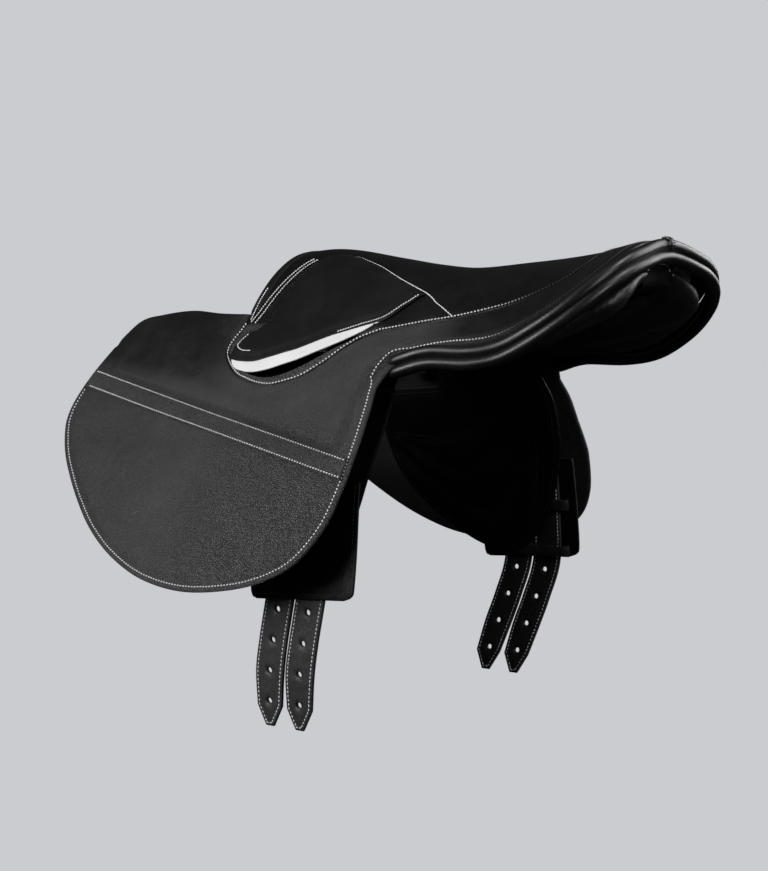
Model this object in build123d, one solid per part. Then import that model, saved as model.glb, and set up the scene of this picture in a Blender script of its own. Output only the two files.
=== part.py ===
"""English saddle with wide forward-cut flaps, as separate pieces. Millimetres.

Frame: +X forward to the pommel, +Y to the near (left) side, +Z up. The origin lies on the middle plane,
level with the seat's lower border at its waist, which is where the saddle sits on the horse's back.
"""

from build123d import *
from math import hypot
import os

# ---- driving dimensions ------------------------------------------------------------------------------
CANTLE_X = -229.0           # rearmost point of the seat
POMMEL_X = 213.0            # front edge of the pommel, 442 mm (17.5 in) ahead of the cantle
SEAT_HALF = 143.0           # half width of the seat's lower border
CENTRE_HALF = 104.0         # half width of the seat's centre panel, down to the side seam
FALL_POWER = 2.2            # how the seat falls away from its ridge to the sides
RIDGE = [(-245, 114), (-229, 113), (-180, 104), (-135, 98), (-76, 93), (-3, 89), (50, 94), (100, 102),
         (175, 113), (220, 110)]                # (x, z) along the top of the seat
FALL = [(-245, 22), (-229, 23.5), (-153, 33.7), (-110, 39), (-60, 39.5), (-3, 38.2), (50, 42.1),
        (100, 48.3), (175, 56.9), (220, 54.6)]  # (x, drop in z) at 100 mm from the ridge
FLAP_LINE = [(112, 40), (129, 20), (147, 0), (169, -26), (188, -52), (204, -79), (220, -105), (234, -132),
             (246, -158), (257, -180), (270, -210), (284, -245)]    # (y, z) down the flap's outer face
BILLET_LINE = [(103, 25), (117, 9), (135, -10), (161, -50), (176, -82), (186, -108), (191.5, -135),
               (198, -188), (203, -240), (200, -285), (196, -318), (188, -380)]  # (y, z), strap centres

WAIST_X = -60.0             # the seat's border is straight ahead of this, and rounded behind it
RIM_FRONT = -43.6           # front end of the rim that runs round the back of the seat

LEATHER = 3.5               # seat and skirt leather
FLAP_LEATHER = 4.5          # flap leather, doubled at its edge
BAND_THICKNESS = 2.0
BILLET_WIDTH = 36.0
BILLET_THICKNESS = 4.5
BILLET_SPACING = 38.5       # between the two straps' centre lines
HOLE_RADIUS = 2.75
HOLE_SPACING = 32.0
TOP_HOLE_Z = -251.0
HOLES_PER_STRAP = 4
GAP = 0.3                   # between pieces that lie on each other
TALL = 600.0                # cutting prisms are taller than the saddle,
WIDE = 420.0                # and longer than half its width

# depths below the seat's surface, measured down +Z
FOAM_TOP, FOAM_BOTTOM = 5.0, 22.0
WEB_TOP, WEB_BOTTOM = 22.3, 24.3
TREE_TOP, TREE_BOTTOM = 25.6, 34.6
STEEL_TOP, STEEL_BOTTOM = 34.9, 37.4
PANEL_TOP, PANEL_BOTTOM = 38.6, 60.0

FOLD_FRONT, FOLD_REAR = (393.0, -22.0), (-6.0, -102.0)      # (x, z) ends of the flap's fold line
SKIRT_HINGE_Z = 36.0
BAND_TOP, BAND_BOTTOM = 1.5, 18.0                           # the band's edges, below the fold line

# depths below the flap's face at the stirrup bar, measured square to it
BAR_OUT, BAR_IN = 3.2, 7.6
PLATE_OUT, PLATE_IN = 17.8, 20.6
POINT_OUT, POINT_IN = 20.9, 23.2
BAR_FRONT, BAR_REAR = 205.0, 108.0
LINING_OUT, LINING_IN = 14.0, 15.5
PIN_RADIUS = 2.0
PIN_CLEARANCE = 0.05

SIDES = ("near", "off")
pieces = {}                 # node name -> shape


# ---- surfaces ----------------------------------------------------------------------------------------
def smooth(knots, x):
    """Value at x of a smooth curve through the knots: cubic spans with averaged end slopes."""
    xs = [k[0] for k in knots]
    ys = [k[1] for k in knots]
    slopes = [(b - a) / (q - p) for p, q, a, b in zip(xs, xs[1:], ys, ys[1:])]
    tangents = [slopes[0]] + [(a + b) / 2 for a, b in zip(slopes, slopes[1:])] + [slopes[-1]]
    i = max(k for k in range(len(xs) - 1) if k == 0 or xs[k] <= x)
    h = xs[i + 1] - xs[i]
    t = (x - xs[i]) / h
    rise = (3 - 2 * t) * t * t
    return (ys[i] * (1 - rise) + ys[i + 1] * rise
            + h * t * (1 - t) * ((1 - t) * tangents[i] - t * tangents[i + 1]))


def seat_z(x, y):
    """Height of the seat's outer surface."""
    return smooth(RIDGE, x) - smooth(FALL, x) * (abs(y) / 100) ** FALL_POWER


def offset_line(line, off):
    """The (y, z) line moved outwards, square to itself."""
    moved = []
    for i, (y, z) in enumerate(line):
        (y0, z0), (y1, z1) = line[max(i - 1, 0)], line[min(i + 1, len(line) - 1)]
        run = hypot(y1 - y0, z1 - z0)
        moved.append((y - off * (z1 - z0) / run, z + off * (y1 - y0) / run))
    return moved


def ring_face(there, back):
    """The flat face between a smooth line and another that runs back beside it."""
    return Face(Wire([Spline(there), Line(there[-1], back[0]), Spline(back), Line(back[-1], there[0])]))


def seat_layer(x_low, x_high, y_low, y_high, top, bottom):
    """The solid between two depths under the seat's surface."""
    steps = 8 if y_low * y_high < 0 else 5
    ys = [y_low + (y_high - y_low) * i / steps for i in range(steps + 1)]
    count = max(2, round((x_high - x_low) / 42))
    sections = []
    for i in range(count + 1):
        x = x_low + (x_high - x_low) * i / count
        upper = [Vector(x, y, seat_z(x, y) - top) for y in ys]
        lower = [Vector(x, y, seat_z(x, y) - bottom) for y in reversed(ys)]
        sections.append(ring_face(upper, lower))
    return loft(sections)


def plan(points, spline=True):
    """A tall prism on a closed (x, y) outline."""
    corners = [Vector(x, y, -TALL / 2) for x, y in points]
    if spline:
        wire = Wire([Spline(corners), Line(corners[-1], corners[0])])
    else:
        wire = Wire(Polyline(corners, close=True))
    return extrude(Face(wire), TALL, dir=(0, 0, 1))


def side_prism(*edges):
    """A wide prism along Y on a closed (x, z) outline, each edge a list of points: two make a line."""
    wires = []
    for edge in edges:
        points = [Vector(x, 0, z) for x, z in edge]
        wires.append(Line(points[0], points[1]) if len(points) == 2 else Spline(points))
    return extrude(Face(Wire(wires)), WIDE, dir=(0, 1, 0))


def side_polygon(*corners):
    """A wide prism along Y on a closed (x, z) outline of straight edges."""
    return side_prism(*[[a, b] for a, b in zip(corners, corners[1:] + corners[:1])])


def sheet(line, inner, outer, outline, x_low=-60.0, x_high=420.0):
    """A leather sheet: the slab between two offsets of a (y, z) line, cut to an outline."""
    near = [Vector(x_low, y, z) for y, z in offset_line(line, outer)]
    far = [Vector(x_low, y, z) for y, z in reversed(offset_line(line, inner))]
    return extrude(ring_face(near, far), x_high - x_low, dir=(1, 0, 0)) & outline


def on_side(side, near):
    """A near-side shape, or its mirror image on the off side."""
    return near if side == "near" else mirror(near, about=Plane.XZ)


def both(name, near):
    """Keeps a near-side piece and its mirror image on the off side."""
    for side in SIDES:
        pieces[f"{name}_{side}"] = on_side(side, near)


def seat_outline(grow):
    """Plan of the seat's border: straight sides and a rounded cantle, moved outwards by grow."""
    half = SEAT_HALF + grow
    length = WAIST_X - CANTLE_X + grow
    steps = 6
    xs = [WAIST_X - length * (1 - (1 - i / steps) ** 2.5) for i in range(steps + 1)]
    near = [(x, half * max(0.0, 1 - ((WAIST_X - x) / length) ** 4) ** 0.25) for x in xs]
    return near + [(x, -y) for x, y in reversed(near[:-1])]


# ---- seat --------------------------------------------------------------------------------------------
def centre_plan(back, side):
    """Plan of the seat's centre panel: back and side move its edges out."""
    near = [(-195 - 0.75 * side, 60 + side), (-172 - 0.75 * side, 88 + side), (-140, CENTRE_HALF - 3 + side),
            (-100, CENTRE_HALF + side), (POMMEL_X, CENTRE_HALF + side)]
    off = [(x, -y) for x, y in reversed(near)]
    return plan([(CANTLE_X + 30 - back, 0)] + near + off, spline=False)


def make_seat():
    """The centre panel, the rims round it, the foam under it and the webs under the foam."""
    seam = 0.4
    wide = SEAT_HALF + 10
    cover = seat_layer(CANTLE_X - 4, POMMEL_X, -CENTRE_HALF, CENTRE_HALF, 0, LEATHER)
    pieces["seat_cover"] = cover & centre_plan(0, 0)

    rim = seat_layer(CANTLE_X - 4, RIM_FRONT, -wide, wide, 0, LEATHER) & plan(seat_outline(0))
    rim = rim - centre_plan(seam, seam)
    near_half = Pos(-130, 100 + GAP / 2, 0) * Box(300, 200, TALL)
    both("seat_rim", rim & near_half)

    foam_front = POMMEL_X - 1
    foam = seat_layer(CANTLE_X + 8, foam_front, -CENTRE_HALF, CENTRE_HALF, FOAM_TOP, FOAM_BOTTOM)
    foam_plan = seat_outline(-9) + [(foam_front, -CENTRE_HALF), (foam_front, CENTRE_HALF)]
    pieces["seat_foam"] = foam & plan(foam_plan, spline=False)

    web_half, web_reach = 25, 82
    webs = [seat_layer(x - web_half, x + web_half, -web_reach, web_reach, WEB_TOP, WEB_BOTTOM)
            for x in (-135, -70, -5)]
    pieces["seat_webs"] = Compound(children=webs)


def make_rolls():
    """Twin rolls round the border, each a band of the plan ring between two heights."""
    heights = [(-240, 110), (-229, 106), (-224, 97), (-218, 86), (-210, 73), (-199, 61), (-187, 50),
               (-171, 38), (-153, 27), (-130, 17), (-100, 10), (-72, 8), (-44, 8)]
    ring = plan(seat_outline(6.5)) - plan(seat_outline(0.4))
    reach = 200
    for name, top, bottom in (("border_welt", 3.0, -5.0), ("border_roll", -5.3, -15.0)):
        upper = [Vector(x, -reach, z + top) for x, z in heights]
        lower = [Vector(x, -reach, z + bottom) for x, z in reversed(heights)]
        face = ring_face(upper, lower)
        pieces[name] = extrude(face, 2 * reach, dir=(0, 1, 0)) & ring
    apex = smooth(RIDGE, CANTLE_X)
    pieces["cantle_tab"] = Pos(CANTLE_X - 8.3, 0, apex - 9) * Box(3, 12, 20)


def make_pommel():
    """The facing that closes the front of the pommel."""
    facing = seat_layer(POMMEL_X + GAP, POMMEL_X + 4, -CENTRE_HALF, CENTRE_HALF, 0, TREE_BOTTOM)
    pieces["pommel_facing"] = facing


# ---- tree and steelwork ------------------------------------------------------------------------------
def make_tree():
    """A laminated frame with an open waist, the steel plate over its head, its rivets and the two springs."""
    inset, head_x = 26, POMMEL_X - 8
    body = seat_layer(CANTLE_X + inset, head_x, -100, 100, TREE_TOP, TREE_BOTTOM)
    body &= plan(seat_outline(-inset) + [(head_x, -100), (head_x, 100)], spline=False)
    waist = Pos(-2, 0, 0) * (extrude(SlotOverall(270, 66), TALL, both=True))
    sides = [Pos(-10, side * 128, 0) * extrude(SlotOverall(290, 104), TALL, both=True) for side in (1, -1)]
    body = body - waist - sides[0] - sides[1]

    plate_rear, plate_front = 163, 204
    plate = seat_layer(plate_rear, plate_front, -CENTRE_HALF, CENTRE_HALF, STEEL_TOP, STEEL_BOTTOM)
    rivet_radius, rivet_clearance = 3.0, 0.05
    rivet_places = [(x, y) for x in (173, 195) for y in (-34, 34)]
    for x, y in rivet_places:
        hole = Pos(x, y, 80) * Cylinder(rivet_radius + rivet_clearance, 200)
        body = body - hole
        plate = plate - hole
    leg_low, leg_high = -26, 21
    leg = sheet(FLAP_LINE[:5], -POINT_IN, -POINT_OUT,
                side_polygon((plate_rear, leg_low), (plate_front, leg_low), (plate_front, leg_high),
                             (plate_rear, leg_high)))
    for side in SIDES:
        plate = plate + on_side(side, leg)
    pieces["tree"] = body
    pieces["head_plate"] = plate

    sunk = 0.8              # the rivets' ends stand this far inside the wood and the plate
    length = STEEL_BOTTOM - TREE_TOP - 2 * sunk
    rivets = [Pos(x, y, seat_z(x, y) - (TREE_TOP + STEEL_BOTTOM) / 2) * Cylinder(rivet_radius, length)
              for x, y in rivet_places]
    pieces["head_rivets"] = Compound(children=rivets)

    spring_inner, spring_outer, spring_bottom = 52, 68, STEEL_BOTTOM - 0.5
    for name, low, high in (("spring_near", spring_inner, spring_outer),
                            ("spring_off", -spring_outer, -spring_inner)):
        pieces[name] = seat_layer(-160, 150, low, high, STEEL_TOP, spring_bottom)


def bar_plane():
    """On the flap's face at the stirrup bar: X forward, Y down the flap, Z outwards."""
    (y0, z0), (y1, z1) = FLAP_LINE[1], FLAP_LINE[2]
    run = hypot(y1 - y0, z1 - z0)
    middle = ((y0 + y1) / 2, (z0 + z1) / 2)
    outwards = (0, (z0 - z1) / run, (y1 - y0) / run)
    return Plane(origin=(0, middle[0], middle[1]), x_dir=(1, 0, 0), z_dir=outwards)


def block(x0, x1, y0, y1, depth_out, depth_in):
    """A box in the bar plane's own frame."""
    middle = Pos((x0 + x1) / 2, (y0 + y1) / 2, -(depth_out + depth_in) / 2)
    return middle * Box(x1 - x0, y1 - y0, depth_in - depth_out)


def make_stirrup_bars():
    """A forged blade, open to the rear, with a thumb catch pinned on its end."""
    step = 14.0             # the blade's end is halved over this length for the catch
    catch_in, catch_out = 5.2, 3.0
    half = 6.5
    pin_x = BAR_REAR + half + 0.5
    pin_hole_depth, pin_hole_length = 7, 20
    blade = block(BAR_REAR + step, BAR_FRONT, -half, half, BAR_OUT, BAR_IN)
    blade += block(pin_x, BAR_REAR + step, -half, half, catch_in + GAP, BAR_IN)
    blade += Pos(pin_x, 0, -(catch_in + GAP + BAR_IN) / 2) * Cylinder(half, BAR_IN - catch_in - GAP)
    foot = block(BAR_FRONT - 12, BAR_FRONT, -half, half, BAR_IN, PLATE_OUT)
    plate = block(BAR_FRONT - 40, BAR_FRONT, -half - 8, half + 4, PLATE_OUT, PLATE_IN)
    bar = blade + foot + plate - Pos(pin_x, 0, -pin_hole_depth) * Cylinder(PIN_RADIUS, pin_hole_length)

    shank_radius, head_radius, head_height = 2.0, 3.6, 1.5
    rivet_places = [(BAR_FRONT - back, y) for back in (34, 18) for y in (-9, 6)]
    rivets, cuts = [], []
    for x, y in rivet_places:
        shank = Pos(x, y, -(PLATE_OUT + POINT_IN) / 2) * Cylinder(shank_radius, POINT_IN - PLATE_OUT + 0.4)
        head = Pos(x, y, -PLATE_OUT + GAP + head_height / 2) * Cylinder(head_radius, head_height)
        rivets.append(shank + head)
        cuts.append(Pos(x, y, -20) * Cylinder(shank_radius, 12))

    catch_length, lip_length, lip_out = 26, 5, 2.4
    catch = Pos(pin_x, 0, -(catch_out + catch_in) / 2) * Cylinder(half, catch_in - catch_out)
    catch_end = pin_x - catch_length
    catch += block(catch_end, pin_x, -half, half - 1, catch_out, catch_in)
    catch += block(catch_end, catch_end + lip_length, -half, half - 1, lip_out, catch_in)
    catch -= Pos(pin_x, 0, -pin_hole_depth) * Cylinder(PIN_RADIUS + PIN_CLEARANCE, pin_hole_length)

    pin_head_radius, pin_head_height = 3.4, 0.8
    pin = Pos(pin_x, 0, -(BAR_IN + catch_out) / 2) * Cylinder(PIN_RADIUS, BAR_IN - catch_out + 0.2)
    pin += Pos(pin_x, 0, -catch_out + 0.5) * Cylinder(pin_head_radius, pin_head_height)

    place = bar_plane().location
    for cut in cuts:
        bar = bar - cut
    both("stirrup_bar", place * bar)
    both("bar_rivets", place * Compound(children=rivets))
    both("bar_catch", place * catch)
    both("catch_pin", place * pin)
    for side in SIDES:
        for cut in cuts:
            pieces["head_plate"] = pieces["head_plate"] - on_side(side, place * cut)


# ---- side leather ------------------------------------------------------------------------------------
RECESS = [(208, 6), (204, -6), (189, -15), (160, -23), (139, -24), (122, -20), (104, -12), (84, 0), (60, 15),
          (40, 29)]


def recess(grow, top):
    """The opening in the flap that the stirrup bar sits in, up to a height, larger by grow all round."""
    centre_x, centre_z = 125.0, 12.0
    edge = []
    for x, z in RECESS:
        reach = hypot(x - centre_x, z - centre_z)
        edge.append((x + grow * (x - centre_x) / reach, z + grow * (z - centre_z) / reach))
    return side_prism(edge, [edge[-1], (edge[-1][0], top)], [(edge[-1][0], top), (edge[0][0], top)],
                      [(edge[0][0], top), edge[0]])


def fold_at(x, drop=0.0):
    """A point on the fold line, moved down by drop."""
    slope = (FOLD_FRONT[1] - FOLD_REAR[1]) / (FOLD_FRONT[0] - FOLD_REAR[0])
    return (x, FOLD_REAR[1] + slope * (x - FOLD_REAR[0]) - drop)


def make_flaps():
    """The flap above and below its fold, the band on it, the knee pad and the recess's lining."""
    top = 42.0
    front = [(213, 41), (255, 42), (298, 45), (340, 41), (377, 30), (389, 3), fold_at(393)]
    rear = [fold_at(-5), (-4, -85), (-2, -52), (2, -30), (-4, -14), (-17, -2), (-43, 2)]
    upper_outline = side_prism(front, [front[-1], rear[0]], rear, [rear[-1], (-43, top)],
                               [(-43, top), (213, top)], [(213, top), front[0]])
    upper = sheet(FLAP_LINE, -FLAP_LEATHER, 0, upper_outline) - recess(0, 35)
    both("flap_upper", upper)

    start, end = fold_at(393.3, 0.6), fold_at(-5, 0.6)
    around = [start, (400, -45), (404, -65), (396, -90), (372, -122), (342, -154), (303, -185), (262, -208),
              (215, -224), (160, -230), (104, -224), (61, -212), (28, -194), (6, -162), (-3, -125), end]
    both("flap_lower", sheet(FLAP_LINE, -FLAP_LEATHER, 0, side_prism(around, [end, start])))

    band_outline = side_polygon(fold_at(390, BAND_TOP), fold_at(0, BAND_TOP), fold_at(0, BAND_BOTTOM),
                                fold_at(397, BAND_BOTTOM))
    both("flap_band", sheet(FLAP_LINE, GAP / 3, BAND_THICKNESS, band_outline))

    pad_thickness = 8
    pad_top = [(232, -8), (240, 22), (262, 30), (300, 34), (340, 28), (362, 14), (368, -4)]
    pad_front, pad_rear = fold_at(372, -6), fold_at(240, -8)
    pad = side_prism(pad_top, [pad_top[-1], pad_front], [pad_front, pad_rear], [pad_rear, pad_top[0]])
    both("knee_pad", sheet(FLAP_LINE, -FLAP_LEATHER - pad_thickness, -FLAP_LEATHER - GAP, pad))

    lining_top = 22         # it ends under the seat's foam
    below_foam = Pos(125, 0, lining_top - TALL / 4) * Box(400, 800, TALL / 2)
    bar_window = side_polygon((186, -14), (215, -14), (215, 30), (186, 30))
    lining = sheet(FLAP_LINE[:7], -LINING_IN, -LINING_OUT, recess(4, 34)) & below_foam
    both("pocket_lining", lining - bar_window)


def make_skirts():
    """The skirt below its hinge, its crown above, and the accent strip behind its lower edge."""
    hinge = SKIRT_HINGE_Z
    lower = [(27, hinge - 1), (41, 34), (73, 26), (105, 15), (136, 4), (152, -1), (170, -4), (191, -3),
             (204, -1), (211, 4), (209, 14), (199, 24), (187, 31), (184, hinge - 0.4)]
    skirt = sheet(FLAP_LINE, 0.5, 0.5 + LEATHER, side_prism(lower, [lower[-1], (27, hinge - 0.4)],
                                                           [(27, hinge - 0.4), lower[0]]))
    both("skirt", skirt)
    strip = [(44, 33), (73, 20), (100, 7), (131, -5), (150, -10), (168, -12.5), (188, -11), (203, -6),
             (207, 2)]
    inner = [(207, 2), (190, 0), (170, 0), (136, 8), (105, 19), (73, 30), (44, 33)]
    both("accent_strip", sheet(FLAP_LINE, -2.0, 0.2, side_prism(strip, inner)))
    top_plan = [(183, 108), (178, 92), (168, 70), (158, 50), (143, 40), (120, 41), (87, 52), (48, 70),
                (10, 90), (-10, 108)]
    rise = 1.2              # the crown lies this far above the seat leather
    crown = seat_layer(-20, 200, 30, 110, -rise - LEATHER, -rise) & plan(top_plan)
    both("skirt_crown", crown)


# ---- panels, sweat flaps, girth straps ---------------------------------------------------------------
def make_panels():
    """A stuffed panel each side, which rises behind the tree at the cantle, and the lining between them."""
    inner, outer, front = 24.0, 112.0, 204.0
    rear = CANTLE_X + 9
    panel = seat_layer(CANTLE_X + 16, front, inner, outer - 1, PANEL_TOP, PANEL_BOTTOM)
    panel += seat_layer(rear, rear + 16, inner + 1, 100, FOAM_BOTTOM + 2, PANEL_BOTTOM - 4)
    border = seat_outline(-11)[:7]
    panel &= plan(border + [(rear, 20), (front, 20), (front, outer), (WAIST_X, outer)], spline=False)
    both("panel", panel)
    lining_half, lining_thickness = inner - 0.4, 2
    pieces["gullet_lining"] = seat_layer(CANTLE_X + 20, 160, -lining_half, lining_half, PANEL_TOP,
                                         PANEL_TOP + lining_thickness)


def make_sweat_flaps():
    """The quilted under-flaps next to the horse."""
    edge = [(8, -4), (4, -22), (-1, -50), (3, -100), (14, -150), (30, -192), (62, -226), (92, -231),
            (130, -221), (178, -194), (220, -160), (244, -116), (246, -70), (232, -40)]
    top = [(150, -40), (130, -4)]
    outline = side_prism(edge, [edge[-1], top[0]], top, [top[-1], edge[0]])
    both("sweat_flap", sheet(BILLET_LINE, -12.5, -7.5, outline))


def strap_outline(centre, half, bottom_point, top_z):
    """A strap's closed outline: two edges either side of a centre line, and a pointed tip."""
    ahead = [(x + half, z) for x, z in centre]
    behind = [(x - half, z) for x, z in reversed(centre)]
    return side_prism(ahead, [ahead[-1], bottom_point], [bottom_point, behind[0]], behind,
                      [behind[-1], (behind[-1][0], top_z)], [(behind[-1][0], top_z), (ahead[0][0], top_z)],
                      [(ahead[0][0], top_z), ahead[0]])


def billet_centre(side, strap):
    """(x, z) points down the middle of a billet, which hangs a little forward."""
    lean = {"near": [(60, -97), (68, -180), (77, -240), (88, -283), (96, -316), (100, -352)],
            "off": [(55, -97), (55, -180), (58, -240), (70, -283), (81, -316), (92, -352)]}[side]
    shift = BILLET_SPACING / 2 if strap == "front" else -BILLET_SPACING / 2
    return [(x + shift, z) for x, z in lean]


def along(points, z):
    """x of a centre line at height z."""
    for (x0, z0), (x1, z1) in zip(points, points[1:]):
        if z1 <= z <= z0:
            return x0 + (x1 - x0) * (z - z0) / (z1 - z0)
    return points[-1][0]


def make_billets():
    """The girth straps with their holes, and the webs that hang them from the tree."""
    half = BILLET_WIDTH / 2
    tip_z = -375
    web_half, web_low, web_high = half - 2, -120, 24
    web_inner, web_outer = -BILLET_THICKNESS / 2 - 3.2, -BILLET_THICKNESS / 2 - 1.0
    for side in SIDES:
        for strap in ("front", "rear"):
            centre = billet_centre(side, strap)
            tip = (centre[-1][0] + 2, tip_z)
            outline = strap_outline(centre, half, tip, centre[0][1] + 0.5)
            billet = sheet(BILLET_LINE, -BILLET_THICKNESS / 2, BILLET_THICKNESS / 2, outline)
            for i in range(HOLES_PER_STRAP):
                z = TOP_HOLE_Z - HOLE_SPACING * i
                hole = Pos(along(centre, z), 200, z) * Rot(90, 0, 0) * Cylinder(HOLE_RADIUS, 60)
                billet = billet - hole
            pieces[f"billet_{strap}_{side}"] = on_side(side, billet)
            x = along(centre, web_low)
            web_outline = side_polygon((x - web_half, web_low), (x + web_half, web_low),
                                       (x + web_half, web_high), (x - web_half, web_high))
            pieces[f"girth_web_{strap}_{side}"] = on_side(side, sheet(BILLET_LINE, web_inner, web_outer,
                                                                      web_outline))


def make_guards():
    """A buckle guard threaded on the pair of billets, with two keeper loops behind them."""
    inner, outer = BILLET_THICKNESS / 2 + 1.5, BILLET_THICKNESS / 2 + 4.8
    loop_in, loop_thickness, loop_height = -BILLET_THICKNESS / 2 - 3.2, 2.2, 12
    side_room, wall = 6.5, 2.5      # from the straps' edges to a loop's outside, and its end walls
    for side in SIDES:
        shift = 0 if side == "near" else -2
        face = side_prism([(2, -122), (0, -180), (0, -222)], [(0, -222), (4, -231)], [(4, -231), (14, -235)],
                          [(14, -235), (122, -242)], [(122, -242), (130, -236)], [(130, -236), (122, -122)],
                          [(122, -122), (2, -122)])
        guard = sheet(BILLET_LINE, inner, outer, face)
        for z in (-168, -222):
            pair = [along(billet_centre(side, strap), z - 6) for strap in ("rear", "front")]
            low = pair[0] - BILLET_WIDTH / 2 - side_room
            high = pair[1] + BILLET_WIDTH / 2 + side_room
            loop = sheet(BILLET_LINE, loop_in, inner + 0.5,
                         side_polygon((low, z), (high, z), (high, z - loop_height), (low, z - loop_height)))
            room = side_polygon((low + wall, z + 5), (high - wall, z + 5), (high - wall, z - 20),
                                (low + wall, z - 20))
            guard = guard + (loop - sheet(BILLET_LINE, loop_in + loop_thickness, inner, room))
        guard = Pos(shift, 0, 0) * guard if shift else guard
        pieces[f"buckle_guard_{side}"] = on_side(side, guard)


make_seat()
make_rolls()
make_pommel()
make_tree()
make_stirrup_bars()
make_flaps()
make_skirts()
make_panels()
make_sweat_flaps()
make_billets()
make_guards()

os.makedirs("parts", exist_ok=True)
for name, shape in pieces.items():
    export_step(shape, f"parts/{name}.step")
print(len(pieces), "nodes written")
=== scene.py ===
"""English saddle: the visual model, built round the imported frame.

Lengths are in millimetres until a mesh is made. Each side's pieces are shaped for the near side, then mirrored.
"""

import bpy
import math
import numpy as np
from mathutils import Matrix, Vector
from mathutils.geometry import delaunay_2d_cdt


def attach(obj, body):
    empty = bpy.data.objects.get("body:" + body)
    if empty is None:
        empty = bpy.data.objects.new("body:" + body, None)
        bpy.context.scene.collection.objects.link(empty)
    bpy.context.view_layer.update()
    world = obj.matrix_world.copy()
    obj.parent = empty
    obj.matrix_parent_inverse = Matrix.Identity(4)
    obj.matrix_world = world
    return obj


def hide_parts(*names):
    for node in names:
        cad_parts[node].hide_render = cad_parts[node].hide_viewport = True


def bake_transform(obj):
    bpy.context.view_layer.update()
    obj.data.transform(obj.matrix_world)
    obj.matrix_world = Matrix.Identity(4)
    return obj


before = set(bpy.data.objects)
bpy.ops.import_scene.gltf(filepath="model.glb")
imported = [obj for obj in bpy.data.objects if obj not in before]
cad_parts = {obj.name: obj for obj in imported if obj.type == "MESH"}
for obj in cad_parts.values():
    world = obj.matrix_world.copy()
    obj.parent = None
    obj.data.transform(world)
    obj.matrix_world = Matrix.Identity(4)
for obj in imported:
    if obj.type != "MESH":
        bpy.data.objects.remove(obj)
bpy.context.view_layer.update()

MM = 0.001
SIDES = ("near", "off")

# ---- driving dimensions, the same as the CAD's -------------------------------------------------------
CANTLE_X = -229.0
POMMEL_X = 213.0
SEAT_HALF = 143.0
FALL_POWER = 2.2
RIDGE = [(-245, 114), (-229, 113), (-180, 104), (-135, 98), (-76, 93), (-3, 89), (50, 94), (100, 102),
         (175, 113), (220, 110)]
FALL = [(-245, 22), (-229, 23.5), (-153, 33.7), (-110, 39), (-60, 39.5), (-3, 38.2), (50, 42.1),
        (100, 48.3), (175, 56.9), (220, 54.6)]
FLAP_LINE = [(112, 40), (129, 20), (147, 0), (169, -26), (188, -52), (204, -79), (220, -105), (234, -132),
             (246, -158), (257, -180), (270, -210), (284, -245)]
BILLET_LINE = [(103, 25), (117, 9), (135, -10), (161, -50), (176, -82), (186, -108), (191.5, -135),
               (198, -188), (203, -240), (200, -285), (196, -318), (188, -380)]
LEATHER = 3.5
FLAP_LEATHER = 4.5
BAND_THICKNESS = 2.0
BILLET_WIDTH = 36.0
BILLET_THICKNESS = 4.5
BILLET_SPACING = 38.5
HOLE_RADIUS = 2.75
HOLE_SPACING = 32.0
FOLD_FRONT, FOLD_REAR = (393.0, -22.0), (-6.0, -102.0)


# ---- curves and surfaces -----------------------------------------------------------------------------
def smooth(knots, x):
    """Value at x of a smooth curve through the knots, straight beyond its ends."""
    xs, ys = np.array(sorted(knots), float).T
    slopes = np.diff(ys) / np.diff(xs)
    tangents = np.concatenate([slopes[:1], (slopes[1:] + slopes[:-1]) / 2, slopes[-1:]])
    held = np.clip(x, xs[0], xs[-1])
    i = np.clip(np.searchsorted(xs, held, side="right") - 1, 0, len(xs) - 2)
    h = xs[i + 1] - xs[i]
    t = (held - xs[i]) / h
    rise = (3 - 2 * t) * t * t
    value = ys[i] * (1 - rise) + ys[i + 1] * rise
    value = value + h * t * (1 - t) * ((1 - t) * tangents[i] - t * tangents[i + 1])
    beyond = np.asarray(x, float) - held
    return value + beyond * np.where(beyond > 0, slopes[-1], slopes[0])


def ease(t):
    """0 below 0, 1 above 1, and a smooth rise between."""
    t = np.clip(t, 0, 1)
    return t * t * (3 - 2 * t)


def height(x, y):
    """Height of the saddle's outer surface: the seat's dome, running into the flap line at the sides."""
    y = np.abs(y)
    seat_x = np.minimum(x, POMMEL_X)
    seat = smooth(RIDGE, seat_x) - smooth(FALL, seat_x) * (y / 100) ** FALL_POWER
    side = smooth(FLAP_LINE, y)
    share = ease((x + 70) / 50) * ease((y - 98) / 18)
    return seat + (side - seat) * share


ARC_Y = np.arange(0, 320.0)
ARC_V = np.concatenate([[0], np.cumsum(np.hypot(1, np.diff(height(60.0, ARC_Y))))])


def arc(y):
    """Distance over the surface from the ridge out to y, signed as y is."""
    return np.interp(np.abs(y), ARC_Y, ARC_V) * np.sign(y)


def side_y(z):
    """y of the flap's outer face at height z."""
    return smooth([(h, y) for y, h in FLAP_LINE], z)


def on_skin(points):
    """(x, y) points as (x, arc) points."""
    points = np.array(points, float)
    return np.column_stack([points[:, 0], arc(points[:, 1])])


def on_flap(points):
    """(x, z) points on the flap as (x, arc) points."""
    points = np.array(points, float)
    return np.column_stack([points[:, 0], arc(side_y(points[:, 1]))])


def y_at(v):
    """y at a signed distance over the surface from the ridge."""
    return np.interp(np.abs(v), ARC_V, ARC_Y) * np.sign(v)


def unit(vectors):
    """The vectors, each brought to length 1."""
    return vectors / np.maximum(np.linalg.norm(vectors, axis=1), 1e-9)[:, None]


def lifted(base, normal, lift):
    """Points moved off a surface along its normals, and the normals."""
    normal = unit(normal)
    return base + normal * np.reshape(lift, (-1, 1)), normal


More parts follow.
